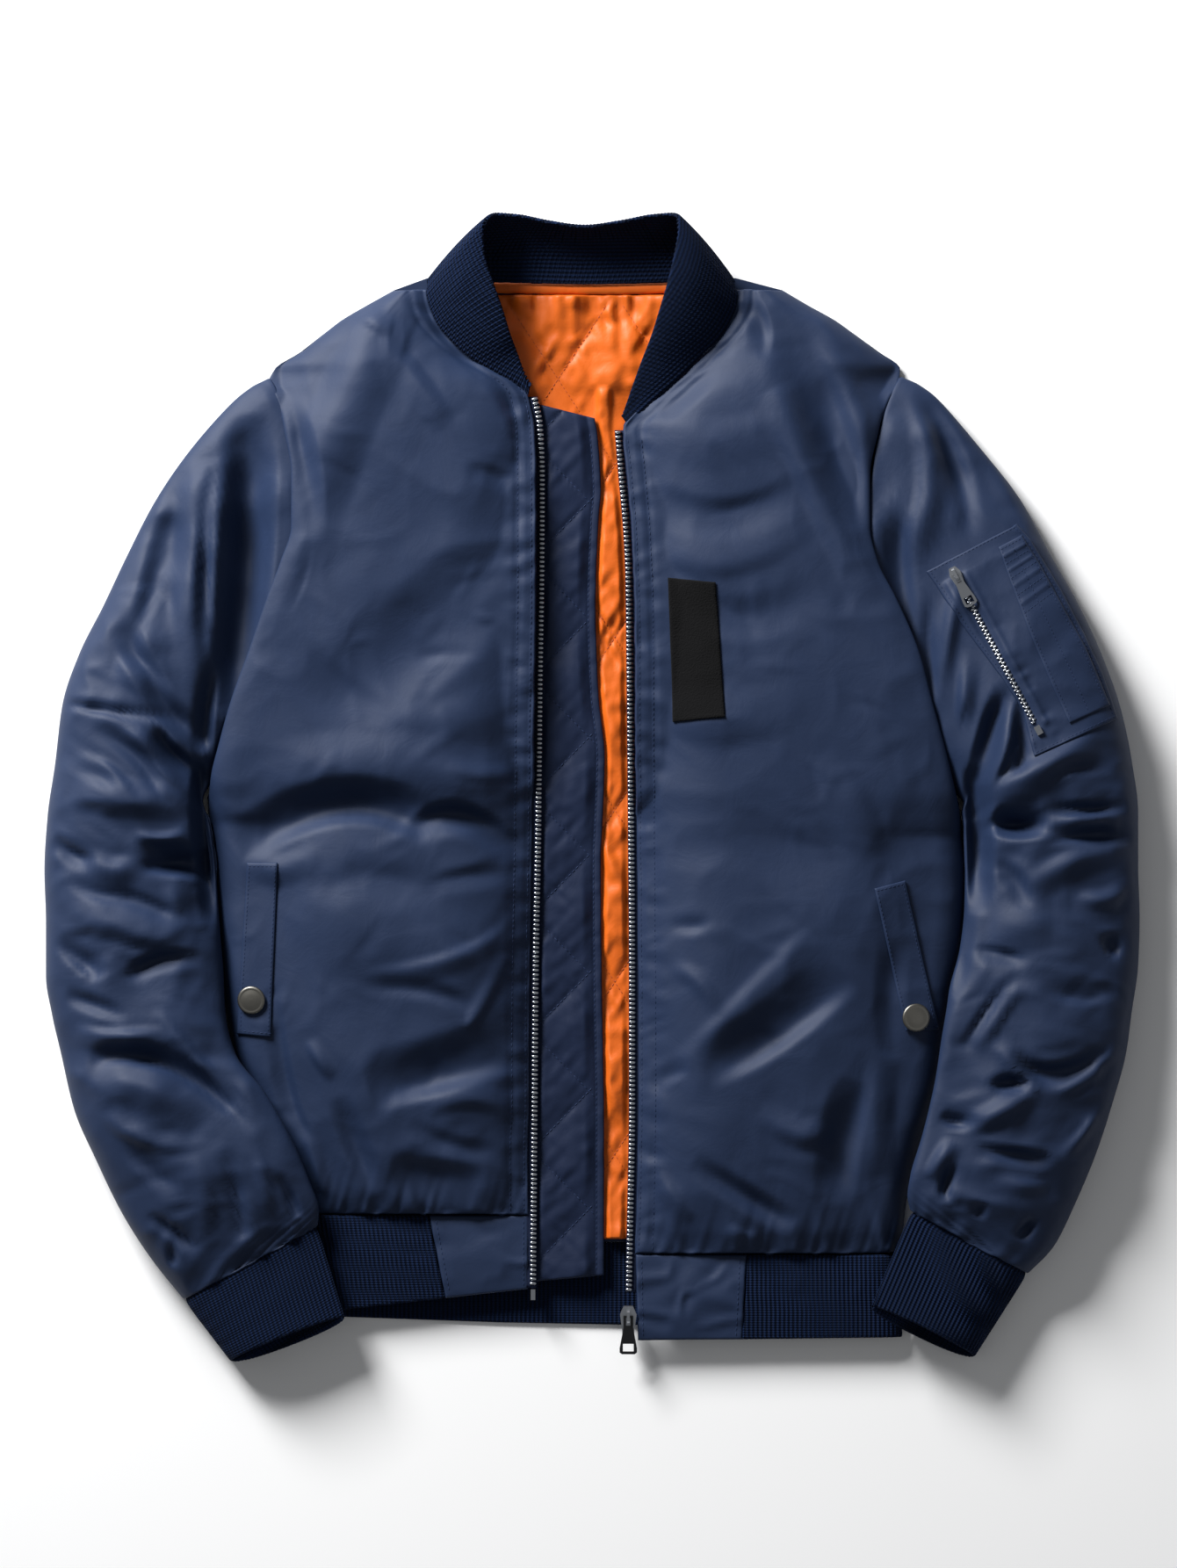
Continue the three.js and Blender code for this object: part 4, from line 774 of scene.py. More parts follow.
# Folds: start x, y; middle x, y; end x, y; half width; height.
FOLDS_FRONT_RIGHT = (
    (-217, 5, -130, 14, -49, -8, 26, 4), (-234, -44, -165, -12, -106, -31, 18, -9.5),
    (-120, -33, -86, -18, -42, -50, 13, -7), (-214, -64, -150, -44, -104, -54, 22, 2.2),
    (-50, 152, -110, 98, -192, 42, 38, -5),
    (-205, -84, -142, -89, -66, -130, 40, 4), (-147, -202, -101, -189, -50, -173, 22, -8),
    (-133, -250, -107, -256, -70, -260, 18, -5), (-168, -205, -156, -236, -143, -268, 11, -4),
    (-130, 312, -165, 250, -200, 147, 26, 5), (-204, 252, -190, 212, -188, 163, 18, -5),
    (-49, -86, -90, -112, -153, -124, 9, 2.2), (-49, -95, -74, -146, -84, -154, 7, 2),
    (-84, -154, -100, -136, -155, -131, 8, -2), (-187, -167, -180, -180, -171, -192, 7, 2.4),
    (-210, -131, -201, -196, -187, -231, 8, -2.6), (-187, -231, -182, -252, -177, -270, 7, 2.4),
    (-115, 335, -98, 303, -69, 272, 8, -3.2), (-69, 272, -54, 254, -47, 227, 7, -2.6),
    (-156, 319, -146, 308, -132, 300, 8, 2), (-140, 296, -112, 262, -96, 238, 13, 2.6),
    (-150, 190, -110, 150, -70, 120, 26, -2), (-60, 60, -110, 40, -160, 62, 22, 2),
    (-200, 100, -160, 60, -120, 44, 20, -2), (-52, 196, -64, 206, -84, 210, 8, -1.8),
    (-50, 120, -66, 112, -80, 118, 7, 1.5), (-50, 10, -72, 8, -96, 14, 8, 1.8),
    (-50, -60, -80, -58, -110, -66, 9, -2), (-52, -218, -78, -206, -110, -214, 10, 2.6),
    (-60, -240, -90, -236, -120, -222, 9, -2.2), (-180, -40, -206, -54, -226, -44, 12, 2.4),
)
# Folds: start x, y; middle x, y; end x, y; half width; height.
FOLDS_FRONT_LEFT = (
    (118, 318, 155, 247, 180, 150, 27, -7), (118, 262, 146, 205, 186, 120, 20, 4),
    (169, -123, 122, -162, 73, -189, 20, -7), (150, -92, 102, -140, 45, -198, 13, 2.2),
    (67, -247, 105, -272, 134, -289, 10, -5), (175, -194, 166, -234, 163, -275, 16, -5),
    (32, 172, 85, 148, 148, 180, 18, 1.6), (38, 195, 90, 181, 143, 204, 16, -2.4),
    (148, 299, 172, 247, 182, 205, 11, 3), (191, -174, 187, -217, 189, -257, 13, 3),
    (44, -254, 54, -270, 66, -286, 8, 2.4), (41, -200, 52, -190, 64, -186, 8, -2.2),
    (50, 240, 84, 228, 128, 246, 20, 1.6), (60, 130, 100, 112, 150, 132, 18, -2),
    (40, 60, 84, 40, 140, 60, 22, 1.8), (100, -20, 150, -50, 210, -40, 26, -2),
    (52, -88, 66, -92, 80, -86, 7, -1.6), (52, -120, 70, -128, 84, -150, 8, 2),
    (98, 330, 112, 306, 110, 282, 9, -2.4), (80, 278, 60, 258, 42, 246, 8, -2.4),
    (150, 20, 176, -20, 184, -70, 20, 2), (200, -100, 196, -140, 200, -180, 12, -2.4),
    (110, -214, 140, -230, 158, -222, 12, 2.6), (90, -290, 100, -296, 112, -298, 7, 2),
)
CHEST_CREASES = Creases((-215, -240), (-60, 300), 46, 25, 55, (24, 60), (5, 10), (0.25, 0.8), 21)
CHEST_CREASES_LEFT = Creases((50, -270), (215, 300), 46, 155, 55, (24, 60), (5, 10), (0.25, 0.8), 22)


@dataclass
class Front(Piece):
    """One front panel: rolled side, crown, placket along the zip and gathers above the hem."""

    ROW_STEP = 2.6
    COLUMN_STEP = 2.0
    WIDTH = 200.0
    FOLD_GAIN = 1.35

    rows: tuple = ()
    folds: tuple = ()
    creases: Creases = CHEST_CREASES
    seed: int = SEED
    node: str = ""

    def __post_init__(self) -> None:
        """Reads the panel's table."""
        self.track = Track(FRONT_COLUMNS, self.rows, "y")
        self.low = self.rows[-1][0]
        self.neck = min(row[0] for row in self.rows if abs(row[2] - self.rows[-1][2]) > 6)
        self.out = 1.0 if self.rows[0][1] > 0 else -1.0

    def height(self, x: Array, y: Array) -> Array:
        """Outer height: a quick roll up from the side, a slow crown, a fall to the front edge, and folds.

        Args:
            x: Plan positions.
            y: Plan positions.

        Returns:
            Heights in millimetres.
        """
        side, front = self.track("side", y), self.track("front", y)
        edge, crown, rim = (self.track(name, y) for name in ("edge", "crown", "rim"))
        width = np.abs(front - side)
        from_side = np.clip(np.abs(x - side), 0.0, width)
        from_front = width - from_side
        lip = np.minimum(17.0, mix(0.6, 0.25, bell((y - 266.0) / 18.0)) * (crown - edge))
        body = edge + lip * roll(from_side / np.minimum(20.0, 0.35 * width))
        body += smooth(from_side / (0.45 * width)) * (crown - edge - lip)
        fall = np.minimum(60.0, 0.5 * width)
        z = mix(rim, body, 1.0 - (1.0 - np.clip(from_front / fall, 0.0, 1.0)) ** 2)
        z += self.FOLD_GAIN * folding(self.folds, x, y) * smooth(from_side / 12.0) * smooth(from_front / 8.0)
        z = np.maximum(z - 6.0 * bell(np.hypot(from_side, y - 269.0) / 20.0), edge)
        fade = smooth(from_side / 12.0) * smooth(from_front / 12.0)
        z += folding(self.creases.rows(), x, y) * fade
        z += (0.9 * crumple(x, 1.2 * y, 110.0, self.seed) + 0.35 * crumple(x, y, 42.0, self.seed + 1)) * fade
        return z + self.placket(y, from_front) + self.gathers(x, y)

    def placket(self, y: Array, away: Array) -> Array:
        """Topstitched band along the front edge: a groove, a flat band, and puckers that run across it."""
        groove = -1.1 * bell((away - 12.0) / 2.0) - 0.7 * bell((away - 3.0) / 1.4)
        pucker = ripple(y + 0.25 * away, 15.0, self.seed + 2)
        pucker += 0.5 * ripple(y - 0.4 * away, 8.0, self.seed + 3)
        band = smooth(away / 3.0) * (1.0 - smooth((away - 9.0) / 16.0))
        return groove + 1.1 * pucker * band

    def gathers(self, x: Array, y: Array) -> Array:
        """Gathers above the hem seam, uneven, fading upwards."""
        up = y - self.low
        sharp = ripple(x + 0.25 * up, 13.0, self.seed + 4)
        sharp += 0.6 * ripple(x - 0.3 * up, 7.0, self.seed + 5)
        return 2.5 * sharp * np.exp(-up / 16.0) * smooth(up / 2.5)

    def grid(self) -> Array:
        """Outer points: rows down the body, columns from side to front edge, closer at the roll."""
        v = spaced(self.rows[0][0] - self.low, self.ROW_STEP)
        u = spaced(self.WIDTH, self.COLUMN_STEP)
        share = 0.65 * u**1.9 + 0.35 * (1.0 - (1.0 - u) ** 1.4)
        y = mix(self.rows[0][0], self.low, v)[:, None] + 0.0 * share
        side, front = self.track("side", y), self.track("front", y)
        x = mix(side, front, share)
        return np.stack([x, y, self.height(x, y)], -1)

    def build(self) -> bpy.types.Object:
        """The panel's cloth."""
        self.cloth = closed_shell(self.name, self.grid(), SHELL, floor=SHELL + GAP)
        self.keep(self.cloth, Finishes.shell, self.node)
        return self.cloth

    def dress(self, drape: Drape) -> None:
        """Topstitching: two rows down the placket."""
        y = np.linspace(self.neck - 6.0, self.low + 1.0, 120)
        front = self.track("front", y)
        rows = [np.column_stack([front + self.out * away, y]) for away in (3.0, 12.0)]
        self.stitch(f"{self.name}_stitches", drape, rows, Finishes.thread)


RING_COLUMNS = "outX outY inX inY bow top full rimIn rimOut lift"
SLEEVE_RIGHT_ROWS = (
    (-216, 271, -239, 34, 31, 20, 1.3, 8, 5, 0), (-233, 259, -241, 26, 26, 24, 1.1, 9, 7, 0),
    (-265, 224, -245, 16, 15, 29, 1.05, 9, 9, 0), (-289, 189, -249, 8, 8, 34, 0.95, 9, 10, 0),
    (-307, 154, -253, 1, 4, 38, 0.9, 10, 11, 0), (-323, 120, -257, -7, 0, 41, 0.85, 11, 12, 0),
    (-339, 88, -258, -15, 0, 43, 0.8, 12, 12, 0), (-350, 55, -256, -23, 0, 44, 0.8, 13, 12, 0),
    (-355, 15, -254.5, -31, 0, 44, 0.75, 14, 12, 0), (-360, -20, -253, -43, 0, 43, 0.75, 14, 12, 0),
    (-362, -55, -251.5, -57, 0, 42, 0.75, 14, 12, 0), (-361, -89, -249.5, -84, 0, 42, 0.75, 15, 12, 0),
    (-361, -124, -247, -115, 0, 43, 0.75, 16, 12, 4), (-357, -150, -243, -147, 0, 44, 0.75, 20, 12, 10),
    (-351, -176, -235, -176, 0, 45, 0.75, 26, 12, 17), (-342, -214, -215, -202, 0, 46, 0.75, 32, 12, 24),
    (-328, -246, -197, -234, 0, 45, 0.75, 32, 12, 24), (-311, -281, -186, -260, 0, 42, 0.75, 31, 12, 24),
    (-292, -311, -180, -278, 0, 37, 0.75, 28, 11, 21), (-270, -339, -181, -290, 0, 31, 0.75, 25, 9, 18),
)
SLEEVE_LEFT_ROWS = (
    (207, 272, 227, 24, 31, 20, 1.3, 8, 5, 0), (224, 261, 229, 16, 27, 24, 1.1, 9, 7, 0),
    (257, 224, 232, 8, 15, 29, 1.05, 9, 9, 0), (284, 189, 237, 1, 8, 34, 0.95, 9, 10, 0),
    (303, 154, 241, -5, 4, 38, 0.9, 10, 11, 0), (322, 120, 245, -10, 0, 41, 0.85, 11, 12, 0),
    (338, 85, 246.5, -15, 0, 43, 0.8, 12, 12, 0), (350, 50, 247.5, -20, 0, 44, 0.8, 13, 12, 0),
    (357, 16, 248.5, -27, 0, 44, 0.75, 14, 12, 0), (361, -17, 249, -37, 0, 43, 0.75, 14, 12, 0),
    (361, -52, 249.5, -54, 0, 42, 0.75, 14, 12, 0), (362, -86, 249, -79, 0, 42, 0.75, 15, 12, 2),
    (361, -118, 246, -106, 0, 43, 0.75, 18, 12, 8), (357, -147, 236, -136, 0, 44, 0.75, 26, 12, 17),
    (353, -176, 231, -162, 0, 45, 0.75, 30, 12, 21), (344, -209, 226, -194, 0, 45, 0.75, 30, 12, 21),
    (334, -240, 218, -228, 0, 44, 0.75, 30, 12, 21), (320, -274, 210, -255, 0, 42, 0.75, 30, 12, 21),
    (305, -304, 208, -269, 0, 37, 0.75, 28, 11, 20), (288, -322, 210, -280, 0, 31, 0.75, 25, 9, 18),
)
CUFF_RIGHT_ROWS = (
    (-269, -340.5, -181, -291, 0, 30, 0.75, 25, 9, 18),
    (-239, -380, -163, -350, 0, 31, 0.75, 26, 7, 22),
)
CUFF_LEFT_ROWS = (
    (287, -323.5, 210, -281.5, 0, 30, 0.75, 25, 9, 18),
    (253, -377, 184, -343, 0, 32, 0.75, 28, 7, 25),
)
# Folds: start x, y; middle x, y; end x, y; half width; height.
FOLDS_SLEEVE_RIGHT = (
    (-226, 246, -229, 150, -240, 46, 21, -16), (-240, 226, -250, 130, -250, 40, 12, 4),
    (-256, 214, -264, 130, -254, 40, 12, 5), (-268, 196, -284, 140, -292, 96, 20, -6),
    (-309, 108, -284, 60, -252, 26, 11, -7), (-314, 81, -292, 70, -267, 45, 11, 4.5),
    (-351, 56, -315, 49, -268, 45, 5, -4), (-288, 38, -276, 21, -256, 7, 11, -9),
    (-309, 36, -289, 26, -272, 1, 9, 3.5), (-344, -3, -310, -8, -260, -12, 15, 4.5),
    (-354, -32, -342, -44, -328, -49, 8, -4), (-296, -50, -272, -51, -253, -56, 13, -12),
    (-333, -46, -315, -54, -299, -50, 10, 3), (-318, -66, -292, -78, -269, -89, 8, -3),
    (-347, -85, -310, -92, -262, -104, 16, 4), (-306, -128, -288, -114, -257, -112, 8, -5),
    (-354, -101, -333, -117, -324, -126, 9, -5), (-347, -137, -326, -144, -308, -154, 8, -4),
    (-286, -144, -264, -174, -221, -222, 6, 3), (-331, -183, -283, -182, -221, -226, 10, -8),
    (-333, -199, -294, -198, -257, -222, 15, 4), (-241, -238, -233, -277, -230, -298, 6, -5),
    (-207, -255, -199, -272, -195, -284, 5, -4), (-292, -280, -275, -293, -260, -305, 6, -4),
    (-278, -298, -277, -309, -276, -316, 5, -3), (-262, -240, -254, -270, -256, -300, 7, 3),
    (-222, -236, -215, -262, -213, -286, 6, 3), (-306, -232, -290, -252, -270, -262, 10, -3.5),
    (-250, 180, -254, 140, -250, 96, 6, -3.5), (-276, 150, -286, 120, -300, 84, 8, 2.5),
    (-330, 40, -300, 20, -286, -4, 8, -3), (-340, 20, -316, 10, -300, -14, 7, 2.5),
    (-258, 22, -257, -34, -250, -96, 10, -16), (-250, 80, -254, 52, -256, 20, 8, -7),
    (-300, -30, -284, -34, -266, -30, 6, 3), (-346, -60, -322, -72, -300, -74, 7, -2.6),
    (-340, -160, -312, -164, -280, -160, 9, 3), (-322, -214, -296, -232, -262, -236, 8, 2.6),
)
# Folds: start x, y; middle x, y; end x, y; half width; height.
FOLDS_SLEEVE_LEFT = (
    (214, 262, 238, 220, 250, 164, 10, -5), (212, 262, 222, 200, 206, 152, 12, 4),
    (206, 180, 203, 150, 212, 90, 13, -7), (246, 86, 245, 61, 244, 46, 8, 4),
    (272, 62, 262, 36, 254, 2, 9, -7), (274, 56, 272, 26, 260, -2, 6, 5), (280, 60, 282, 26, 278, 8, 6, -5),
    (257, -6, 291, 10, 334, 34, 14, 5), (262, -20, 280, -25, 299, -22, 12, -13),
    (302, -13, 326, -15, 353, -12, 6, -5), (302, -22, 325, -21, 349, -20, 7, 3),
    (299, -36, 325, -32, 358, -35, 8, -5), (286, -68, 317, -49, 356, -40, 12, 4),
    (263, -88, 282, -92, 302, -96, 18, 3), (338, -97, 342, -106, 347, -111, 7, -4),
    (249, -108, 271, -110, 285, -116, 7, -3), (285, -118, 264, -143, 244, -173, 7, -4),
    (286, -119, 267, -146, 252, -173, 8, 4), (277, -173, 300, -188, 340, -173, 10, -6),
    (264, -169, 281, -187, 292, -201, 7, 4), (262, -198, 276, -194, 288, -198, 8, -7),
    (244, -225, 267, -214, 291, -201, 10, 5), (230, -215, 241, -221, 256, -218, 7, -5),
    (253, -237, 278, -241, 304, -244, 7, -5), (346, -170, 325, -190, 304, -201, 6, 3),
    (308, -244, 325, -227, 331, -214, 6, 3), (222, -258, 230, -244, 238, -232, 8, 4),
    (234, -274, 234, -262, 239, -249, 5, -6), (256, -273, 255, -279, 253, -284, 5, -4),
    (290, -284, 286, -291, 281, -298, 5, -5), (244, 140, 236, 110, 232, 70, 7, 3),
    (224, 120, 222, 90, 226, 56, 8, -4), (300, 0, 316, 12, 344, 10, 7, -2.6),
    (266, -50, 280, -62, 286, -80, 9, -4), (320, -70, 336, -74, 352, -68, 8, 3),
    (296, -130, 320, -138, 346, -132, 9, -3), (270, -256, 286, -262, 300, -262, 7, 3),
    (250, 14, 254, -36, 252, -84, 10, -15), (250, -78, 246, -110, 238, -140, 7, -6),
)
ARM_CREASES_RIGHT = Creases((-350, -290), (-250, 190), 60, -15, 50, (20, 55), (4, 8), (0.3, 1.1), 31)
ARM_CREASES_LEFT = Creases((240, -280), (350, 190), 60, 15, 50, (20, 55), (4, 8), (0.3, 1.1), 32)


def ring_points(track: Track, station: Array, turn: Array, to_body: float) -> Array:
    """Points of a sleeve or cuff ring.

    A ring runs from its inner end over the top to its outer end and back underneath. Its height over the
    rim is the sine of the turn to a power that makes it fuller or flatter.

    Args:
        track: The ring table.
        station: Row number of each point's ring.
        turn: Angle round the ring, 0 at the inner end and half a turn at the outer one.
        to_body: Direction of the body, 1 or -1 along X.

    Returns:
        Points in the draft's millimetres.
    """
    get = {name: track(name, station) for name in RING_COLUMNS.split()}
    across = (1.0 - np.cos(turn)) / 2.0
    around = np.abs(np.sin(turn))
    rim = mix(get["rimIn"], get["rimOut"], across)
    lift = get["lift"] * (1.0 - smooth(across / 0.5))
    bow = get["bow"] * to_body * (4.0 * across * (1.0 - across)) ** 0.8
    over = rim + (get["top"] - rim) * around ** get["full"]
    below = mix(rim, lift, np.minimum(1.0, 1.6 * around))
    x = mix(get["inX"], get["outX"], across) + bow
    y = mix(get["inY"], get["outY"], across)
    return np.stack([x, y, np.where(np.sin(turn) >= 0, over, below)], -1)


@dataclass
class Sleeve(Piece):
    """One sleeve: a hollow tube, creased over its top and gathered at its wrist."""

    LENGTH = 640.0
    RING_STEP = 2.8
    PLACES_ROUND = 104
    WRIST_RADIUS = 32.0
    FOLD_GAIN = 1.45

    rows: tuple = ()
    folds: tuple = ()
    creases: Creases = ARM_CREASES_RIGHT
    to_body: float = 1.0
    seed: int = SEED
    node: str = ""

    def grid(self) -> Array:
        """Outer points, ring by ring."""
        track = Track(RING_COLUMNS, self.rows)
        last = len(self.rows) - 1
        v = spaced(self.LENGTH, self.RING_STEP)
        turn = np.linspace(0.0, 2.0 * np.pi, self.PLACES_ROUND, endpoint=False)
        turn -= 0.125 * np.sin(2.0 * turn)
        station, around = np.meshgrid(v * last, turn, indexing="ij")
        points = ring_points(track, station, around, self.to_body)
        x, y = points[..., 0], points[..., 1]
        ends = smooth(v / 0.02) * smooth((1.0 - v) / 0.03)
        top = smooth(np.sin(around) * 1.6) * ends[:, None]
        lift = self.FOLD_GAIN * folding(self.folds, x, y) + folding(self.creases.rows(), x, y)
        lift += 2.2 * crumple(x, 0.8 * y, 84.0, self.seed) + 0.8 * crumple(x, 1.3 * y, 38.0, self.seed + 1)
        points[..., 2] += lift * top
        wrist = (1.0 - v)[:, None] * self.LENGTH
        run = around * self.WRIST_RADIUS
        sharp = ripple(run, 11.0, self.seed + 2) + 0.6 * ripple(run + wrist, 6.0, self.seed + 3)
        points[..., 2] += 2.8 * sharp * np.exp(-wrist / 24.0) * smooth(wrist / 2.5) * np.sin(around).clip(0.0)
        points[..., 2] += 4.0 * (1.0 - smooth(station / 2.5)) * np.sin(around).clip(0.0) ** 0.7
        points[..., 0] += self.to_body * self.tuck(station, around, v)
        return points

    def tuck(self, station: Array, around: Array, v: Array) -> Array:
        """How far the cloth goes in under the front: at its armhole, and along the body below the arm."""
        beside = smooth((station - 5.0) / 1.5) * (1.0 - smooth((station - 12.0) / 1.5))
        inner = 1.0 - smooth((1.0 - np.cos(around)) / 2.0 / 0.1)
        return 2.4 * (1.0 - smooth(v / 0.03))[:, None] + 3.0 * beside * inner

    def build(self) -> bpy.types.Object:
        """The sleeve's cloth."""
        self.cloth = closed_shell(self.name, self.grid(), SHELL, ring=True)
        self.keep(self.cloth, Finishes.shell, self.node)
        return self.cloth


def ribbed(points: Array, run: Array, depth: float, ring: bool) -> Array:
    """Raises ribs along a grid's rows: a rounded wave of the distance run, along the normal."""
    wave = 0.5 + 0.5 * np.cos(run * 2.0 * np.pi / RIB_PITCH)
    return points + grid_normals(points, ring) * (depth * (np.sqrt(wave) - 1.0))[..., None]


@dataclass
class Cuff(Piece):
    """Rib knit cuff: a short tube with its upper lip drawn back."""

    DEPTH = 60.0
    RING_STEP = 2.6
    PLACES_ROUND = 480

    rows: tuple = ()
    node: str = ""

    def build(self) -> bpy.types.Object:
        """The cuff's knit, with ribs along the arm."""
        seam, end = (np.array(row, float) for row in self.rows)
        along = np.array([end[0] + end[2] - seam[0] - seam[2], end[1] + end[3] - seam[1] - seam[3], 0.0])
        along /= np.linalg.norm(along)
        v = spaced(self.DEPTH, self.RING_STEP)
        turn = np.linspace(0.0, 2.0 * np.pi, self.PLACES_ROUND, endpoint=False)
        station, around = np.meshgrid(v, turn, indexing="ij")
        points = ring_points(Track(RING_COLUMNS, self.rows), station, around, 0.0)
        reach = np.where(np.sin(around) > 0, -3.5, -5.0) * np.sin(around) * station**2
        points += (reach - 4.0 * (1.0 - smooth(station / 0.2)))[..., None] * along
        middle = points.mean(1, keepdims=True)
        points = mix(middle, points, (1.0 - 0.05 * (1.0 - smooth(station / 0.06)))[..., None])
        ring = points[len(v) // 2]
        run = np.linalg.norm(np.diff(ring, axis=0, append=ring[:1]), axis=1).cumsum()
        run *= round(run[-1] / RIB_PITCH) * RIB_PITCH / run[-1]
        points = ribbed(points, np.broadcast_to(run, points.shape[:2]), RIB_DEPTH, True)
        cloth = closed_shell(self.name, points, KNIT, ring=True)
        self.keep(cloth, Finishes.knit, self.node)
        return cloth


COLLAR_COLUMNS = "baseX baseY baseZ freeX freeY freeZ midY midZ"
COLLAR_ROWS = (
    (-40, 261, 15, -42, 265, 16.5, 0, 0), (-45, 266, 14.5, -44, 271, 18, 0, 0.5),
    (-63, 276, 14, -49, 286, 22, 0, 1.5), (-81, 287, 13, -54, 299, 29, 0, 3),
    (-93, 298, 12.5, -59, 315, 35, 0, 4), (-101, 308, 12, -65, 332, 39, 0, 5),
    (-106, 320, 12, -71, 352, 42, 0, 6), (-109, 331, 11, -72, 368, 43, 0, 6),
    (-110, 338, 9, -68, 377, 40, 2, 2), (-101, 339, 6, -62, 379, 36, 2, -7),
    (-78, 338, 5, -48, 378, 35, 3, -7), (-43, 337, 5, -28, 374, 35, 5, -6),
    (-5, 336, 5, -5, 371, 35, 6, -6), (32, 337, 5, 18, 374, 35, 5, -6),
    (64, 338, 5, 39, 378, 35, 3, -7), (86, 339, 6, 52, 379, 36, 2, -7),
    (95, 338, 9, 57, 377, 40, 2, 2), (95, 331, 11, 57, 367, 43, 0, 6),
    (94, 320, 12, 54, 350, 42, 0, 6), (90, 310, 12, 50, 333, 39, 0, 5),
    (83, 299, 12.5, 45, 316, 35, 0, 4), (71, 287, 13, 39, 297, 29, 0, 3),
    (57, 273, 14.2, 32, 279, 23, 0, 1.5), (38, 256, 13.8, 25, 259, 18.4, 0, 0.5),
    (22, 240, 13.8, 20, 244, 15.8, 0, 0),
)


@dataclass
class Collar(Piece):
    """Rib knit collar: a band that stands up round the neck and folds at its two back corners."""

    DEPTH = 42.0
    CROSS_STEP = 3.2
    PLACES_ALONG = 900
    RIB_DEPTH = 0.4

    def build(self) -> bpy.types.Object:
        """The band, ribs across it."""
        track = Track(COLLAR_COLUMNS, COLLAR_ROWS)
        v = np.linspace(0.0, len(COLLAR_ROWS) - 1.0, self.PLACES_ALONG)
        t = spaced(self.DEPTH, self.CROSS_STEP)
        at, across = np.meshgrid(v, t, indexing="ij")
        get = {name: track(name, at) for name in COLLAR_COLUMNS.split()}
        push, foot = 4.0 * across * (1.0 - across), (1.0 - across) ** 2
        beside = 1.0 - smooth((get["baseY"] - 326.0) / 10.0)
        side = np.sign(get["baseX"] + 5.0)
        points = np.stack([
            mix(get["baseX"], get["freeX"], across) + 2.2 * foot * beside * side,
            mix(get["baseY"], get["freeY"], across) + push * get["midY"] - foot * mix(3.4, 2.2, beside),
            mix(get["baseZ"], get["freeZ"], across) + push * get["midZ"] + 1.4 * foot,
        ], -1)
        middle = points[:, len(t) // 2]
        run = np.concatenate([[0.0], np.linalg.norm(np.diff(middle, axis=0), axis=1).cumsum()])
        points = ribbed(points, np.broadcast_to(run[:, None], points.shape[:2]), self.RIB_DEPTH, False)
        cloth = closed_shell(self.name, points, KNIT)
        self.keep(cloth, Finishes.knit, "collar")
        return cloth


@dataclass
class HemBand(Piece):
    """Hem of one front: a length of rib knit and a shell patch at the zip."""

    top: float = 0.0
    side: tuple[float, float] = (0.0, 0.0)
    front: tuple[float, float] = (0.0, 0.0)
    low: tuple[float, float] = (0.0, 0.0)
    tab: tuple[float, float] = (0.0, 0.0)
    suffix: str = ""
    seed: int = SEED

    def surface(self, start: tuple, end: tuple, columns: Array, puckers: float) -> Array:
        """Outer points between two slanting lines: a rolled side, then level, swelling at mid depth."""
        v = spaced(52.0, 2.4)[:, None]
        x = mix(mix(*start, v), mix(*end, v), columns[None])
        side, front = mix(*self.side, v), mix(*self.front, v)
        share = (x - side) / (front - side)
        y = mix(self.top, mix(*self.low, share), v)
        edge = SHELL + GAP
        z = edge + (13.0 - edge) * roll(np.abs(x - side) / 19.0) + 1.5 * np.sin(np.pi * v)
        z += puckers * crumple(x, 1.4 * y, 34.0, self.seed) * np.sin(np.pi * v)
        return np.stack([x, y + 0.0 * x, z], -1)

    def build(self) -> None:
        """The rib and the patch."""
        toward = math.copysign(GAP, self.front[0] - self.side[0])
        wide = abs(self.tab[0] - self.side[0])
        u = np.linspace(0.0, 1.0, round(wide * 2.2)) ** 1.15
        points = self.surface(self.side, self.tab, u, 0.25)
        ribs = np.abs(points[..., 0] - self.side[0])
        knit = ribbed(points, ribs, RIB_DEPTH, False)
        rib = closed_shell(f"hem_rib_{self.suffix}_knit", knit, KNIT, floor=SHELL + GAP)
        self.keep(rib, Finishes.knit, f"hem_rib_{self.suffix}")
        start = tuple(x + toward for x in self.tab)
        u = spaced(abs(self.front[0] - self.tab[0]), 1.6)
        patch = closed_shell(f"hem_tab_{self.suffix}_cloth", self.surface(start, self.front, u, 1.5), KNIT)
        self.keep(patch, Finishes.shell, f"hem_tab_{self.suffix}")
        drape = Drape(patch)
        v = np.linspace(0.06, 0.94, 30)
        lines = []
        for u0 in (0.06, 0.95):
            x = mix(mix(*start, v), mix(*self.front, v), u0)
            share = (x - mix(*self.side, v)) / (mix(*self.front, v) - mix(*self.side, v))
            lines.append(np.column_stack([x, mix(self.top, mix(*self.low, share), v)]))
        self.stitch(f"hem_tab_{self.suffix}_stitches", drape, lines, Finishes.thread)


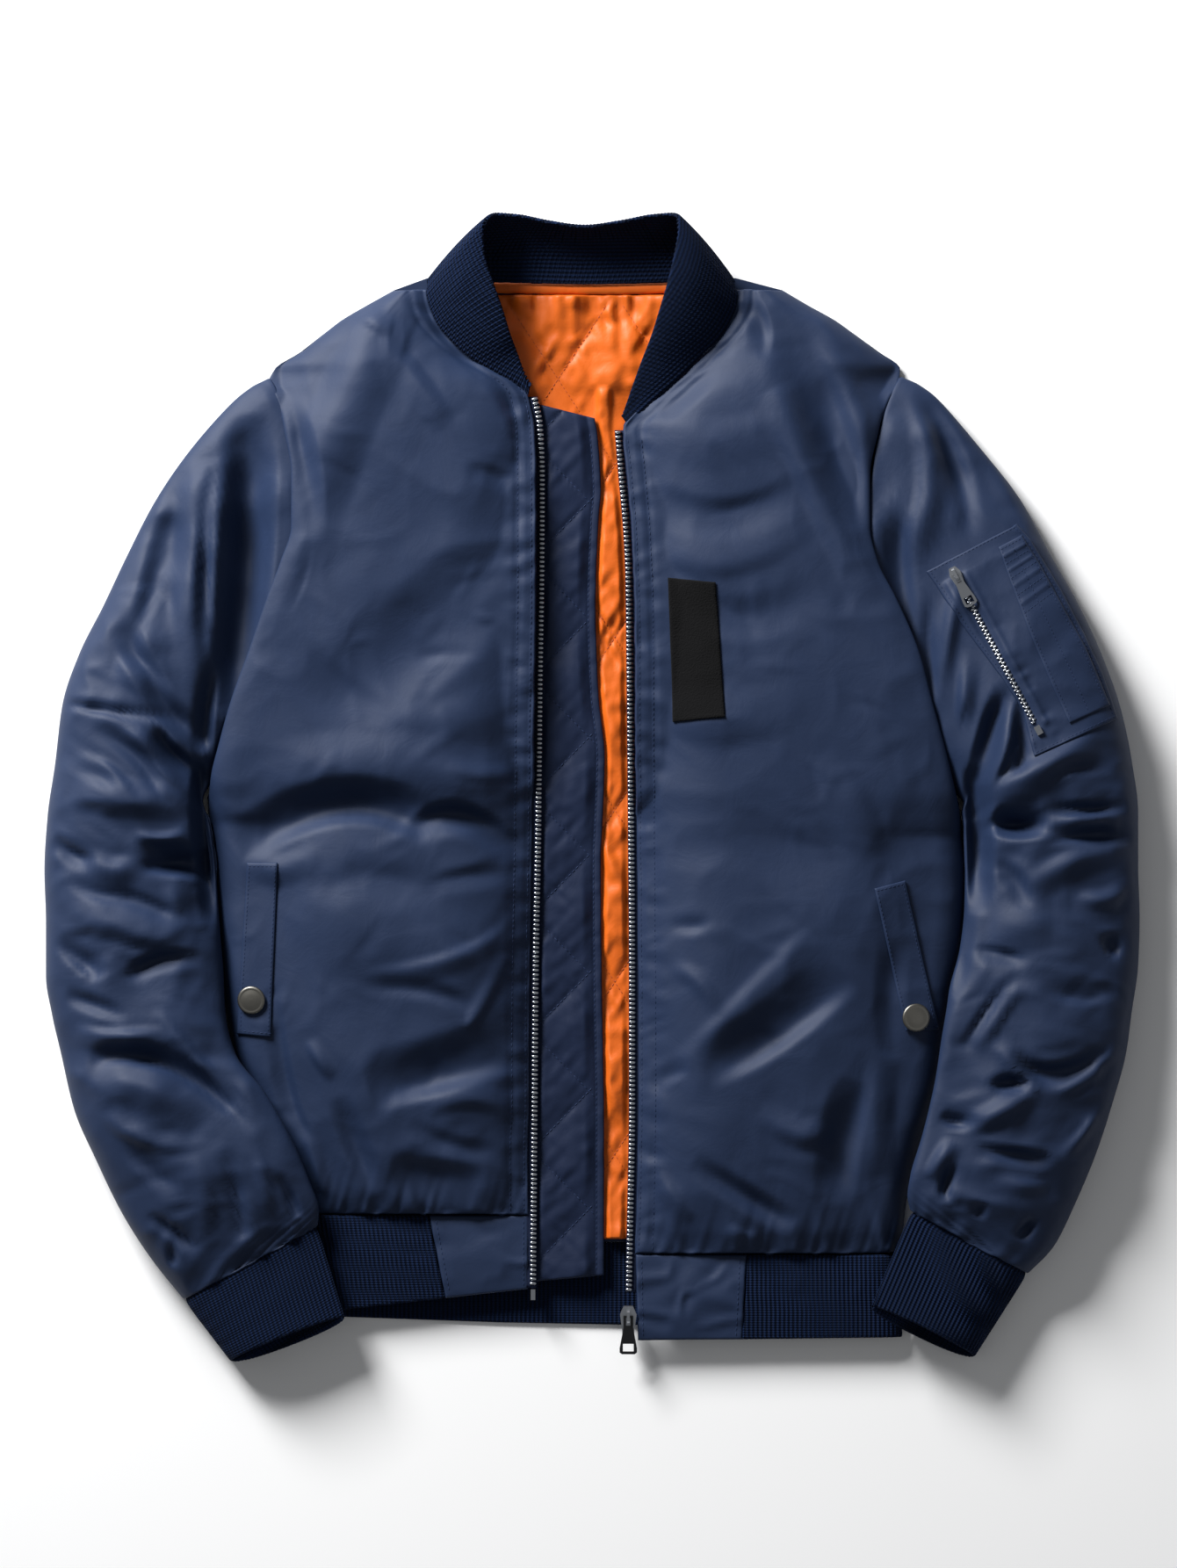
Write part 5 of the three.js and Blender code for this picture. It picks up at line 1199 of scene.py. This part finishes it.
@dataclass
class BackHem(Piece):
    """Hem rib of the back, flat on the surface, seen between the fronts."""

    DEPTH = 54.0
    ROW_STEP = 2.4
    COLUMN_STEP = 0.55
    ENDS = (-175.0, 204.0)

    def build(self) -> None:
        """A flat ribbed band with a slanting lower edge."""
        low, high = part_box("hem_rib_back")
        top = high.y / MM - Plan.shift[1]
        x = np.arange(*self.ENDS, self.COLUMN_STEP)
        v = spaced(self.DEPTH, self.ROW_STEP)[:, None]
        bottom = np.interp(x, [-175.0, -60.0, 30.0, 204.0], [-350.5, -354.6, -356.3, -359.5])[None]
        y = mix(top, bottom, v)
        points = np.stack([x[None] + 0.0 * y, y, np.full_like(y, KNIT)], -1)
        knit = ribbed(points, points[..., 0], RIB_DEPTH, False)
        cloth = closed_shell("hem_rib_back_knit", knit, KNIT, inner=flat_under(points, 0.0))
        self.keep(cloth, Finishes.knit, "hem_rib_back")


@dataclass(frozen=True)
class Diamonds:
    """Quilting lattice: size of a diamond and one of its corners."""

    wide: float
    high: float
    x: float
    y: float

    def coordinates(self, x: Array, y: Array) -> tuple[Array, Array]:
        """Numbers of the two families of lines at a place; whole on a line."""
        a = (x - self.x) / self.wide + (y - self.y) / self.high
        return a, (x - self.x) / self.wide - (y - self.y) / self.high

    def puff(self, x: Array, y: Array) -> Array:
        """Height between the lines: 0 on a line and 1 in the middle of a diamond."""
        a, b = (np.abs(t - np.round(t)) * 2.0 for t in self.coordinates(x, y))
        return np.sqrt(a * b) ** 0.8

    def puckers(self, x: Array, y: Array, wave: float, seed: int) -> Array:
        """Small ridges that run off the stitch lines at right angles and die out, between -1 and 1."""
        a, b = self.coordinates(x, y)
        apart = 1.0 / math.hypot(1.0 / self.wide, 1.0 / self.high)
        total = np.zeros_like(a)
        for k, (near, along) in enumerate(((a, b), (b, a))):
            away = np.abs(near - np.round(near)) * apart
            line = ripple(along * math.hypot(self.wide, self.high) / 2.0 + 37.0 * np.round(near), wave, seed + k)
            total += line * np.exp(-away / 7.0) * smooth(away / 1.2)
        return total

    def lines(self, low: tuple[float, float], high: tuple[float, float]) -> list[Array]:
        """Stitch lines of both families inside a box."""
        span = (high[1] - low[1]) / self.high + (high[0] - low[0]) / self.wide
        found = []
        for slope in (1.0, -1.0):
            for k in range(-int(span) - 3, int(span) + 4):
                y = np.linspace(low[1], high[1], 160)
                x = self.x + self.wide * (k - slope * (y - self.y) / self.high)
                inside = (x > low[0]) & (x < high[0])
                if inside.sum() > 2:
                    found.append(np.column_stack([x, y])[inside])
        return found


LINING_DIAMONDS = Diamonds(75.0, 114.0, 15.0, 213.0)
FLAP_DIAMONDS = Diamonds(76.0, 78.0, -2.0, 189.0)


@dataclass
class BackLining(Piece):
    """Quilted lining of the back, seen in the neck and down the gap, and its neck binding."""

    TOP = 325.7
    LOW = -299.0
    LENGTH = 624.7
    WIDTH = 100.0
    ROW_STEP = 2.2
    COLUMN_STEP = 1.3

    base: float = SHELL + GAP
    puff: float = LINING_PUFF

    def spine(self, y: Array) -> tuple[Array, Array]:
        """Middle and half width of the lining at a height: a strip below, wide at the neck."""
        neck = smooth((y - 205.0) / 105.0)
        corner = 1.0 - 0.35 * smooth((self.LOW + 24.0 - y) / 24.0)
        return mix(15.0, -1.0, neck), mix(28.0, 76.0, neck) * corner

    def free(self, x: Array, y: Array) -> Array:
        """1 where nothing lies on the lining, in the neck and between the flap and the left zip, else 0."""
        flap, zipped = Track("x y", FLAP_EDGE_ROWS, "y"), Track("x y", ZIP_LEFT_ROWS, "y")
        strip = smooth((x - flap("x", y) - 0.5) / 4.0) * (1.0 - smooth((x - zipped("x", y) + 7.0) / 4.0))
        neck = smooth((y - 258.0) / 10.0) * (1.0 - smooth((np.abs(x + 3.0) - 42.0 - 0.25 * (y - 259.0)) / 8.0))
        return np.maximum(strip * (1.0 - smooth((y - 262.0) / 8.0)), neck)

    def build(self) -> None:
        """The lining, gathered under the binding, with creases inside the diamonds."""
        y = mix(self.TOP, self.LOW, spaced(self.LENGTH, self.ROW_STEP))[:, None]
        u = spaced(self.WIDTH, self.COLUMN_STEP)[None]
        middle, half = self.spine(y)
        x = middle + half * (2.0 * u - 1.0)
        y = y + 0.0 * x
        puffed = LINING_DIAMONDS.puff(x, y)
        crease = 0.5 * ripple(x * 0.9 + y * 0.35, 13.0, 41) * ripple(y, 40.0, 42) + 0.3 * swell(x, y, 14.0, 43)
        crease += 0.9 * LINING_DIAMONDS.puckers(x, y, 10.0, 46)
        gathers = 1.2 * ripple(x + 4.0 * ripple(y, 60.0, 47), 10.0, 44) * np.exp((y - self.TOP) / 15.0)
        rise = np.clip(puffed + (crease + gathers) * smooth(puffed * 2.5) * 0.6, 0.0, 1.3)
        rise = LINING + self.puff * rise * (1.0 + 1.7 * self.free(x, y))
        points = np.stack([x, y, self.base + rise], -1)
        cloth = closed_shell("back_lining_cloth", points, LINING, inner=flat_under(points, self.base))
        self.keep(cloth, Finishes.lining, "back_lining")
        lines = [
            line[(np.abs(line[:, 0] - self.spine(line[:, 1])[0]) < self.spine(line[:, 1])[1] - 3.0)]
            for line in LINING_DIAMONDS.lines((-77.0, -296.0), (75.0, 318.0))
        ]
        drape = Drape(cloth)
        self.stitch("back_lining_stitches", drape, [line for line in lines if len(line) > 3],
                    Finishes.lining_thread, pitch=3.0, radius=0.3)
        self.bind()

    def bind(self) -> None:
        """Rolled binding along the back neck seam."""
        x = np.linspace(-70.0, 60.0, 260)
        turn = np.linspace(0.0, 2.0 * np.pi, 20, endpoint=False)
        y = np.interp(x, [-70.0, -20.0, 20.0, 60.0], [330.5, 329.5, 329.5, 330.5])
        swellings = 1.0 + 0.07 * ripple(x, 7.0, 45)
        ring = np.stack([np.cos(turn) * 3.4, np.sin(turn) * 1.75], -1)
        points = np.empty((len(x), len(turn), 3))
        points[..., 0] = x[:, None] + 0.5 * ring[None, :, 1]
        points[..., 1] = y[:, None] + swellings[:, None] * ring[None, :, 0]
        points[..., 2] = 5.15 + swellings[:, None] * ring[None, :, 1]
        self.keep(closed_shell("neck_binding_cloth", points, 1.0, ring=True), Finishes.lining, "neck_binding")


# Lines on the plan, from the neck down: x, y.
FLAP_EDGE_ROWS = (
    (1, 247), (3.5, 235), (6, 195), (4.5, 177), (2.5, 119), (4.5, 61), (8.5, 21), (7.5, -14),
    (6, -49), (6.5, -124), (8, -217), (8, -325),
)
ZIP_RIGHT_ROWS = (
    (-38.2, 258), (-34.6, 240), (-33.2, 206), (-33.4, 149), (-34.6, 67), (-35.6, -31), (-37.2, -118),
    (-38.2, -240), (-38.6, -283), (-39, -331),
)
ZIP_LEFT_ROWS = (
    (17.2, 236), (19.6, 206), (22.6, 172), (24.2, 140), (25.2, 56), (25.9, -20), (26.6, -130),
    (26.6, -211), (25.2, -292), (24.4, -334),
)


@dataclass
class WindFlap(Piece):
    """Quilted flap behind the right zip edge."""

    WIDTH = 50.0
    LENGTH = 580.0
    ROW_STEP = 2.2
    COLUMN_STEP = 0.9

    base: float = SHELL + GAP + LINING + LINING_PUFF + GAP

    def build(self) -> None:
        """The flap with its puffed diamonds and its turned, topstitched free edge."""
        zip_x = Track("x y", ZIP_RIGHT_ROWS, "y")
        edge_x = Track("x y", FLAP_EDGE_ROWS, "y")
        u = spaced(self.WIDTH, self.COLUMN_STEP)[None]
        v = spaced(self.LENGTH, self.ROW_STEP)[:, None]
        y = mix(mix(256.0, 244.0, u), mix(-328.0, -323.0, u), v)
        left, right = zip_x("x", y) - 9.0, edge_x("x", y)
        x = mix(left, right, u)
        free = right - x
        puffed = FLAP_DIAMONDS.puff(x, y) * smooth((x - left - 6.0) / 10.0) * smooth((free - 5.0) / 8.0)
        crease = 0.3 * ripple(x * 0.5 - y * 0.8, 12.0, 51) + 0.3 * swell(x, y, 12.0, 52)
        crease += 1.3 * FLAP_DIAMONDS.puckers(x, y, 9.0, 54)
        hem = -0.5 * bell((free - 5.0) / 1.2) + 0.35 * ripple(y, 9.0, 53) * bell((free - 3.0) / 4.0)
        under_front = 1.0 - smooth((x - zip_x("x", y) - 2.0) / 3.0)
        rise = LINING + (3.5 - 2.1 * under_front) * np.clip(puffed * (1.0 + 0.5 * crease), 0.0, 1.3)
        rise += hem * smooth(free / 1.0)
        points = np.stack([x, y, self.base + rise], -1)
        cloth = closed_shell("wind_flap_cloth", points, LINING, inner=flat_under(points, self.base))
        # The flap takes the darker copy of the shell nylon: painted shade.
        self.keep(cloth, Finishes.shaded_flap_nylon, "wind_flap")
        drape = Drape(cloth)
        lines = []
        for line in FLAP_DIAMONDS.lines((-44.0, -318.0), (8.0, 244.0)):
            keep = (line[:, 0] > zip_x("x", line[:, 1]) - 3.0) & (line[:, 0] < edge_x("x", line[:, 1]) - 5.5)
            if keep.sum() > 3:
                lines.append(line[keep])
        y = np.linspace(234.0, -318.0, 140)
        lines.append(np.column_stack([edge_x("x", y) - 5.0, y]))
        self.stitch("wind_flap_stitches", drape, lines, Finishes.thread)


@dataclass
class ZipSide(Piece):
    """One side of the main zip: woven tape and its row of teeth."""

    rows: tuple = ()
    base: float = 12.5
    to_cloth: float = -1.0
    node: str = ""

    def build(self) -> None:
        """The tape and the teeth."""
        track = Track("x y", self.rows, "y")
        high, low = self.rows[0][1], self.rows[-1][1]
        y = np.linspace(high, low, 300)
        x = track("x", y)
        v = spaced(9.0, 0.8, rim=(0.2, 0.4, 0.6))
        reach = mix(self.to_cloth * 5.0, -self.to_cloth * 2.4, v)
        points = np.empty((len(y), len(v), 3))
        points[..., 0] = x[:, None] + reach[None]
        points[..., 1] = y[:, None]
        points[..., 2] = self.base + 0.75 + 0.15 * np.cos(reach[None] * 3.0)
        tape = closed_shell(f"{self.name}_tape", points, 0.8)
        self.keep(tape, Finishes.tape)
        line = np.column_stack([x, y, np.full_like(x, self.base + 0.55)])
        at = resample(line, 3.0)
        template, quads = tooth_template(1.75, 4.4, 1.95)
        along = np.gradient(at, axis=0)
        up = np.tile([0.0, 0.0, 1.0], (len(at), 1))
        teeth = scatter(f"{self.name}_teeth", template, quads, at, along, up)
        self.keep(teeth, Finishes.steel, self.node)


def in_corners(corners: tuple, u: Array, v: Array) -> Array:
    """Places inside four corners, v down and u across."""
    a, b, c, d = (np.array(p, float) for p in corners)
    u, v = u[..., None], v[..., None]
    return mix(mix(a, b, u), mix(d, c, u), v)


def spread(length: float, width: float, down: float, across: float) -> tuple[Array, Array]:
    """Ways down and across a piece as two grids, at its two step sizes and closer at the rims."""
    v, u = np.meshgrid(spaced(length, down), spaced(width, across), indexing="ij")
    return v, u


@dataclass
class Patch(Piece):
    """A flat piece sewn on a panel: four corners, its thickness and its finish."""

    corners: tuple = ()
    thick: float = 1.5
    node: str = ""
    finish: Finish = Finishes.shell
    lift: float = 0.4
    steps: tuple[int, int] = (90, 36)
    sewn: tuple[float, ...] = ()

    def build(self, drape: Drape) -> bpy.types.Object:
        """The piece, dropped on the cloth and moved out, and its stitching."""
        v, u = spread(100.0, 24.0, 100.0 / self.steps[0], 24.0 / self.steps[1])
        plan = in_corners(self.corners, u, v)
        under, _ = drape.drop(plan)
        for _ in range(3):
            level = under[..., 2].copy()
            level[1:-1, 1:-1] = (level[:-2, 1:-1] + level[2:, 1:-1] + level[1:-1, :-2] + level[1:-1, 2:]) / 4
            under[..., 2] = np.maximum(under[..., 2], level)
        under[..., 2] += self.lift
        outer = under + grid_normals(under, False) * self.thick
        cloth = closed_shell(f"{self.name}_cloth", outer, self.thick, inner=under)
        self.keep(cloth, self.finish, self.node)
        a, b, c, d = (np.array(p, float) for p in self.corners)
        if self.sewn:
            on = Drape(cloth)
            t = np.linspace(0.02, 0.98, 40)
            lines = [in_corners(self.corners, np.full_like(t, s), t) for s in self.sewn]
            lines += [in_corners(self.corners, t, np.full_like(t, s)) for s in (0.02, 0.98)]
            self.stitch(f"{self.name}_stitches", on, lines, Finishes.thread, pitch=2.8, radius=0.28)
        return cloth


@dataclass
class Snap(Piece):
    """Snap cap: a rounded metal button with a raised rim."""

    at: tuple[float, float] = (0.0, 0.0)
    node: str = ""

    def build(self, drape: Drape) -> None:
        """The cap, square to the cloth below it."""
        profile = np.array([
            (0.02, 0.0), (8.2, 0.0), (9.1, 0.6), (9.35, 1.4), (9.1, 2.1), (8.4, 2.55), (7.6, 2.62), (7.1, 2.5),
            (6.7, 2.55), (5.0, 2.9), (3.0, 3.1), (0.02, 3.2),
        ])
        points, quads = revolve(profile, 64)
        place, normal = drape.drop(np.array([self.at], float))
        seat = place + normal * 0.2
        obj = scatter(f"{self.name}_cap", points, quads, seat, np.array([[1.0, 0.0, 0.0]]), normal)
        self.keep(obj, Finishes.dark, self.node)


# Outlines on the plan, from the shoulder end down: x, y.
POCKET_LEFT = ((220.5, 142), (228, 131.5), (246, 104), (269, 73), (284, 50), (291, 20))
POCKET_RIGHT = ((280, 173), (289, 163), (309, 130), (324, 101), (336, 75), (346, 45))
SLOT_LEFT = ((268, 158), (276, 134), (287, 104), (303, 66), (314, 42))
SLOT_RIGHT = ((283, 166), (295, 147), (309, 121), (325, 92), (341, 54))
POCKET_ZIP_LINE = ((244, 131), (291, 42))


def between(left: tuple, right: tuple, u: Array, v: Array) -> Array:
    """Places between two outlines, v along them and u across."""
    def along(line: tuple) -> Array:
        points = np.array(line, float)
        at = v * (len(line) - 1)
        return np.stack([np.interp(at, np.arange(len(line)), points[:, k]) for k in range(2)], -1)

    return mix(along(left), along(right), u[..., None])


def line_distance(points: Array, start: Array, end: Array) -> tuple[Array, Array]:
    """Signed distance from a straight line, and the way along it as 0..1."""
    step = end - start
    length = np.linalg.norm(step)
    rel = points - start
    across = (rel[..., 0] * step[1] - rel[..., 1] * step[0]) / length
    return across, (rel * step).sum(-1) / length**2


@dataclass
class SleevePocket(Piece):
    """Utility pocket on the left sleeve: panel, zip and pen slots."""

    def settle(self, under: Array, passes: int) -> Array:
        """Lays a stiff panel over the folds below it: smooths heights and never dips below the cloth."""
        cloth = under[..., 2].copy()
        z = cloth.copy()
        for _ in range(passes):
            inner = (z[:-2, 1:-1] + z[2:, 1:-1] + z[1:-1, :-2] + z[1:-1, 2:]) / 4
            z[1:-1, 1:-1] = np.maximum(inner, cloth[1:-1, 1:-1])
        under[..., 2] = z
        return under

    def build(self, sleeve: Drape) -> None:
        """Panel, slot panel, teeth and stitching."""
        v, u = spread(150.0, 66.0, 1.6, 1.2)
        under = self.settle(sleeve.drop(between(POCKET_LEFT, POCKET_RIGHT, u, v))[0], 14)
        under[..., 2] += 0.35
        start, end = (np.array(p, float) for p in POCKET_ZIP_LINE)
        across, way = line_distance(under[..., :2], start, end)
        inside = smooth((way + 0.10) / 0.04) * smooth((1.06 - way) / 0.04)
        lips = 1.1 * bell((np.abs(across) - 6.5) / 2.2) - 1.0 * bell(across / 4.0)
        pucker = 0.5 * ripple(way * 110.0, 9.0, 61) * bell((np.abs(across) - 9.0) / 4.0)
        relief = (lips * inside + pucker * smooth(way + 0.3)) * smooth(u * 12.0) * smooth((1 - u) * 12.0)
        normals = grid_normals(under, False)
        outer = under + normals * (1.3 + relief)[..., None]
        panel = closed_shell("pocket_panel_cloth", outer, 1.3, inner=under)
        self.keep(panel, Finishes.shell, "pocket_panel")
        on_panel = Drape(panel)
        self.dress_slot(on_panel)
        self.dress_zip(on_panel, start, end)
        t = np.linspace(0.02, 0.98, 60)
        edge = [between(POCKET_LEFT, POCKET_RIGHT, np.full_like(t, s), t) for s in (0.03, 0.97)]
        edge += [between(POCKET_LEFT, POCKET_RIGHT, t, np.full_like(t, s)) for s in (0.015, 0.985)]
        self.stitch("pocket_panel_stitches", on_panel, edge, Finishes.thread, pitch=2.8, radius=0.28)

    def dress_slot(self, on_panel: Drape) -> None:
        """Pen slots: a second layer with its rows of stitching and raised bars."""
        v, u = spread(130.0, 27.0, 1.5, 0.9)
        under = self.settle(on_panel.drop(between(SLOT_LEFT, SLOT_RIGHT, u, v))[0], 6)
        under[..., 2] += 0.3
        bars = sum(bell((v - k) * 130.0 / 1.3) for k in (0.07, 0.17, 0.27, 0.37))
        thick = 1.0 + 0.7 * bars * smooth(u * 8) * smooth((1 - u) * 8)
        outer = under + grid_normals(under, False) * thick[..., None]
        slot = closed_shell("pen_slot_cloth", outer, 1.0, inner=under)
        self.keep(slot, Finishes.shell, "pen_slot")
        t = np.linspace(0.03, 0.97, 50)
        lines = [between(SLOT_LEFT, SLOT_RIGHT, np.full_like(t, s), t) for s in (0.07, 0.5, 0.93)]
        lines += [between(SLOT_LEFT, SLOT_RIGHT, t, np.full_like(t, s)) for s in (0.02, 0.12, 0.22, 0.32, 0.42)]
        self.stitch("pen_slot_stitches", Drape(slot), lines, Finishes.thread, pitch=2.6, radius=0.26)

    def dress_zip(self, on_panel: Drape, start: Array, end: Array) -> None:
        """Closed zip: two rows of teeth that mesh, sunk between the panel's lips."""
        at = resample(np.stack([start, end]), 1.5)
        point, normal = on_panel.drop(at)
        along = np.gradient(point, axis=0)
        side = np.cross(normal, along)
        side /= np.linalg.norm(side, axis=1, keepdims=True)
        shift = np.where(np.arange(len(at)) % 2, 0.7, -0.7)[:, None]
        template, quads = tooth_template(1.25, 2.9, 1.2)
        teeth = scatter("pocket_zip_teeth", template, quads, point + side * shift + normal * 0.1, along, normal)
        self.keep(teeth, Finishes.steel, "pocket_zip")


class Hardware(Piece):
    """Sliders, pull tabs, box, pin and end stop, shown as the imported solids."""

    FINISH = {
        "zip_slider": Finishes.steel,
        "zip_box": Finishes.steel,
        "zip_pin": Finishes.steel,
        "pocket_slider": Finishes.steel,
        "pocket_pull_tab": Finishes.steel,
        "pocket_end_stop": Finishes.steel,
        "zip_pull_tab": Finishes.black,
        "back": Finishes.shell,
    }

    def build(self) -> None:
        """Gives the solids their finish."""
        for node, finish in self.FINISH.items():
            self.made.append(Finishes.use(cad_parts[node], finish))


class Studio:
    """Pale floor, soft light from the upper left, and the camera over the jacket as in the photo."""

    PHOTO = (1340, 1785)
    PIXEL = 0.58 * MM
    CENTRE = (670.0, 892.5)
    ORIGIN = (674.0, 896.0)
    DISTANCE = 6.0
    LOOK = 0.02
    KEY = ((-1.5, 2.0, 1.25), 1.0, 188.0)
    FILL = ((1.6, -0.6, 2.4), 1.6, 3.0)
    SKY = ((0.95, 0.97, 1.0, 1.0), 0.16)

    def floor(self) -> None:
        """The surface that the jacket lies on."""
        half = 3.0
        corners = np.array([(-half, -half, 0), (half, -half, 0), (half, half, 0), (-half, half, 0)], float)
        obj = new_mesh("floor", corners - [0.0, 0.0, 0.0004], np.array([[0, 1, 2, 3]]))
        paper = Finish("floor", Slot.SHELL, (252, 252, 252), 0.9)
        obj.data.materials.append(paper.material())

    def lamp(self, name: str, place: tuple, size: float, power: float) -> None:
        """Square light that faces the jacket."""
        data = bpy.data.lights.new(name, "AREA")
        data.size = size
        data.energy = power
        obj = bpy.data.objects.new(name, data)
        obj.location = place
        obj.rotation_euler = (-Vector(place)).to_track_quat("-Z", "Y").to_euler()
        bpy.context.scene.collection.objects.link(obj)

    def camera(self) -> None:
        """Camera straight above, far off, at the photo's scale."""
        data = bpy.data.cameras.new("camera")
        tall = self.PHOTO[1] * self.PIXEL
        data.lens = data.sensor_width / 2.0 / (tall / 2.0 / (self.DISTANCE - self.LOOK))
        obj = bpy.data.objects.new("camera", data)
        x = (self.CENTRE[0] - self.ORIGIN[0]) * self.PIXEL
        y = (self.ORIGIN[1] - self.CENTRE[1]) * self.PIXEL + Plan.shift[1] * MM
        obj.location = (x, y, self.DISTANCE)
        bpy.context.scene.collection.objects.link(obj)
        bpy.context.scene.camera = obj

    def build(self) -> None:
        """Sets the studio up."""
        self.floor()
        self.lamp("key", *self.KEY)
        self.lamp("fill", *self.FILL)
        world = bpy.data.worlds.new("world")
        world.use_nodes = True
        for socket, value in zip(world.node_tree.nodes["Background"].inputs, self.SKY):
            socket.default_value = value
        bpy.context.scene.world = world
        bpy.context.scene.view_settings.view_transform = "Standard"
        self.camera()


def jacket() -> list[Piece]:
    """Builds every piece in the order in which they lie."""
    hardware = Hardware("hardware")
    hardware.build()
    pieces: list[Piece] = [hardware]
    for piece in (
        BackHem("back hem"),
        BackLining("back lining"),
        WindFlap("wind flap"),
        ZipSide("zip_right", ZIP_RIGHT_ROWS, 12.5, -1.0, "zip_right"),
        ZipSide("zip_left", ZIP_LEFT_ROWS, 9.5, 1.0, "zip_left"),
        Collar("collar_knit"),
        Cuff("cuff_right_knit", CUFF_RIGHT_ROWS, "cuff_right"),
        Cuff("cuff_left_knit", CUFF_LEFT_ROWS, "cuff_left"),
        HemBand("hem right", -283.0, (-187.0, -176.0), (-42.0, -42.5), (-347.0, -332.0), (-108.0, -97.0),
                "right"),
        HemBand("hem left", -309.0, (204.5, 206.0), (29.0, 30.4), (-364.0, -366.0), (102.5, 99.5), "left", 12),
    ):
        piece.build()
        pieces.append(piece)
    right = Front("front_right_cloth", FRONT_RIGHT_ROWS, FOLDS_FRONT_RIGHT, CHEST_CREASES, 70, "front_right")
    left = Front("front_left_cloth", FRONT_LEFT_ROWS, FOLDS_FRONT_LEFT, CHEST_CREASES_LEFT, 80, "front_left")
    on_right, on_left = Drape(right.build()), Drape(left.build())
    right.dress(on_right)
    left.dress(on_left)
    patch = Patch("chest_patch", ((50, 138), (81.5, 135), (87.5, 46), (53.5, 43)), 1.4, "chest_patch",
                  Finishes.loop)
    patch.build(on_left)
    welt_right = Patch("welt_right", ((-227.5, -50), (-207, -50), (-212, -165), (-234, -163)), 1.6, "welt_right",
                       sewn=(0.08, 0.92))
    welt_left = Patch("welt_left", ((186, -67), (206.5, -61.5), (229, -160), (207, -161)), 1.6, "welt_left",
                      sewn=(0.08, 0.92))
    snap_right = Snap("snap_right", (-224.5, -140.5), "snap_right")
    snap_left = Snap("snap_left", (213.5, -152), "snap_left")
    snap_right.build(Drape(welt_right.build(on_right)))
    snap_left.build(Drape(welt_left.build(on_left)))
    arm_right = Sleeve("sleeve_right_cloth", SLEEVE_RIGHT_ROWS, FOLDS_SLEEVE_RIGHT, ARM_CREASES_RIGHT, 1.0, 90,
                       "sleeve_right")
    arm_left = Sleeve("sleeve_left_cloth", SLEEVE_LEFT_ROWS, FOLDS_SLEEVE_LEFT, ARM_CREASES_LEFT, -1.0, 100,
                      "sleeve_left")
    arm_right.build()
    pocket = SleevePocket("sleeve pocket")
    pocket.build(Drape(arm_left.build()))
    sewn_on = [patch, welt_right, welt_left, snap_right, snap_left]
    return [*pieces, right, left, *sewn_on, arm_right, arm_left, pocket]


def main() -> None:
    """Builds the jacket and the studio."""
    logging.basicConfig(level=logging.INFO, format="%(name)s: %(message)s")
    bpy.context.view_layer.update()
    for piece in jacket():
        piece.report()
    Studio().build()


if __name__ == "__main__":
    main()
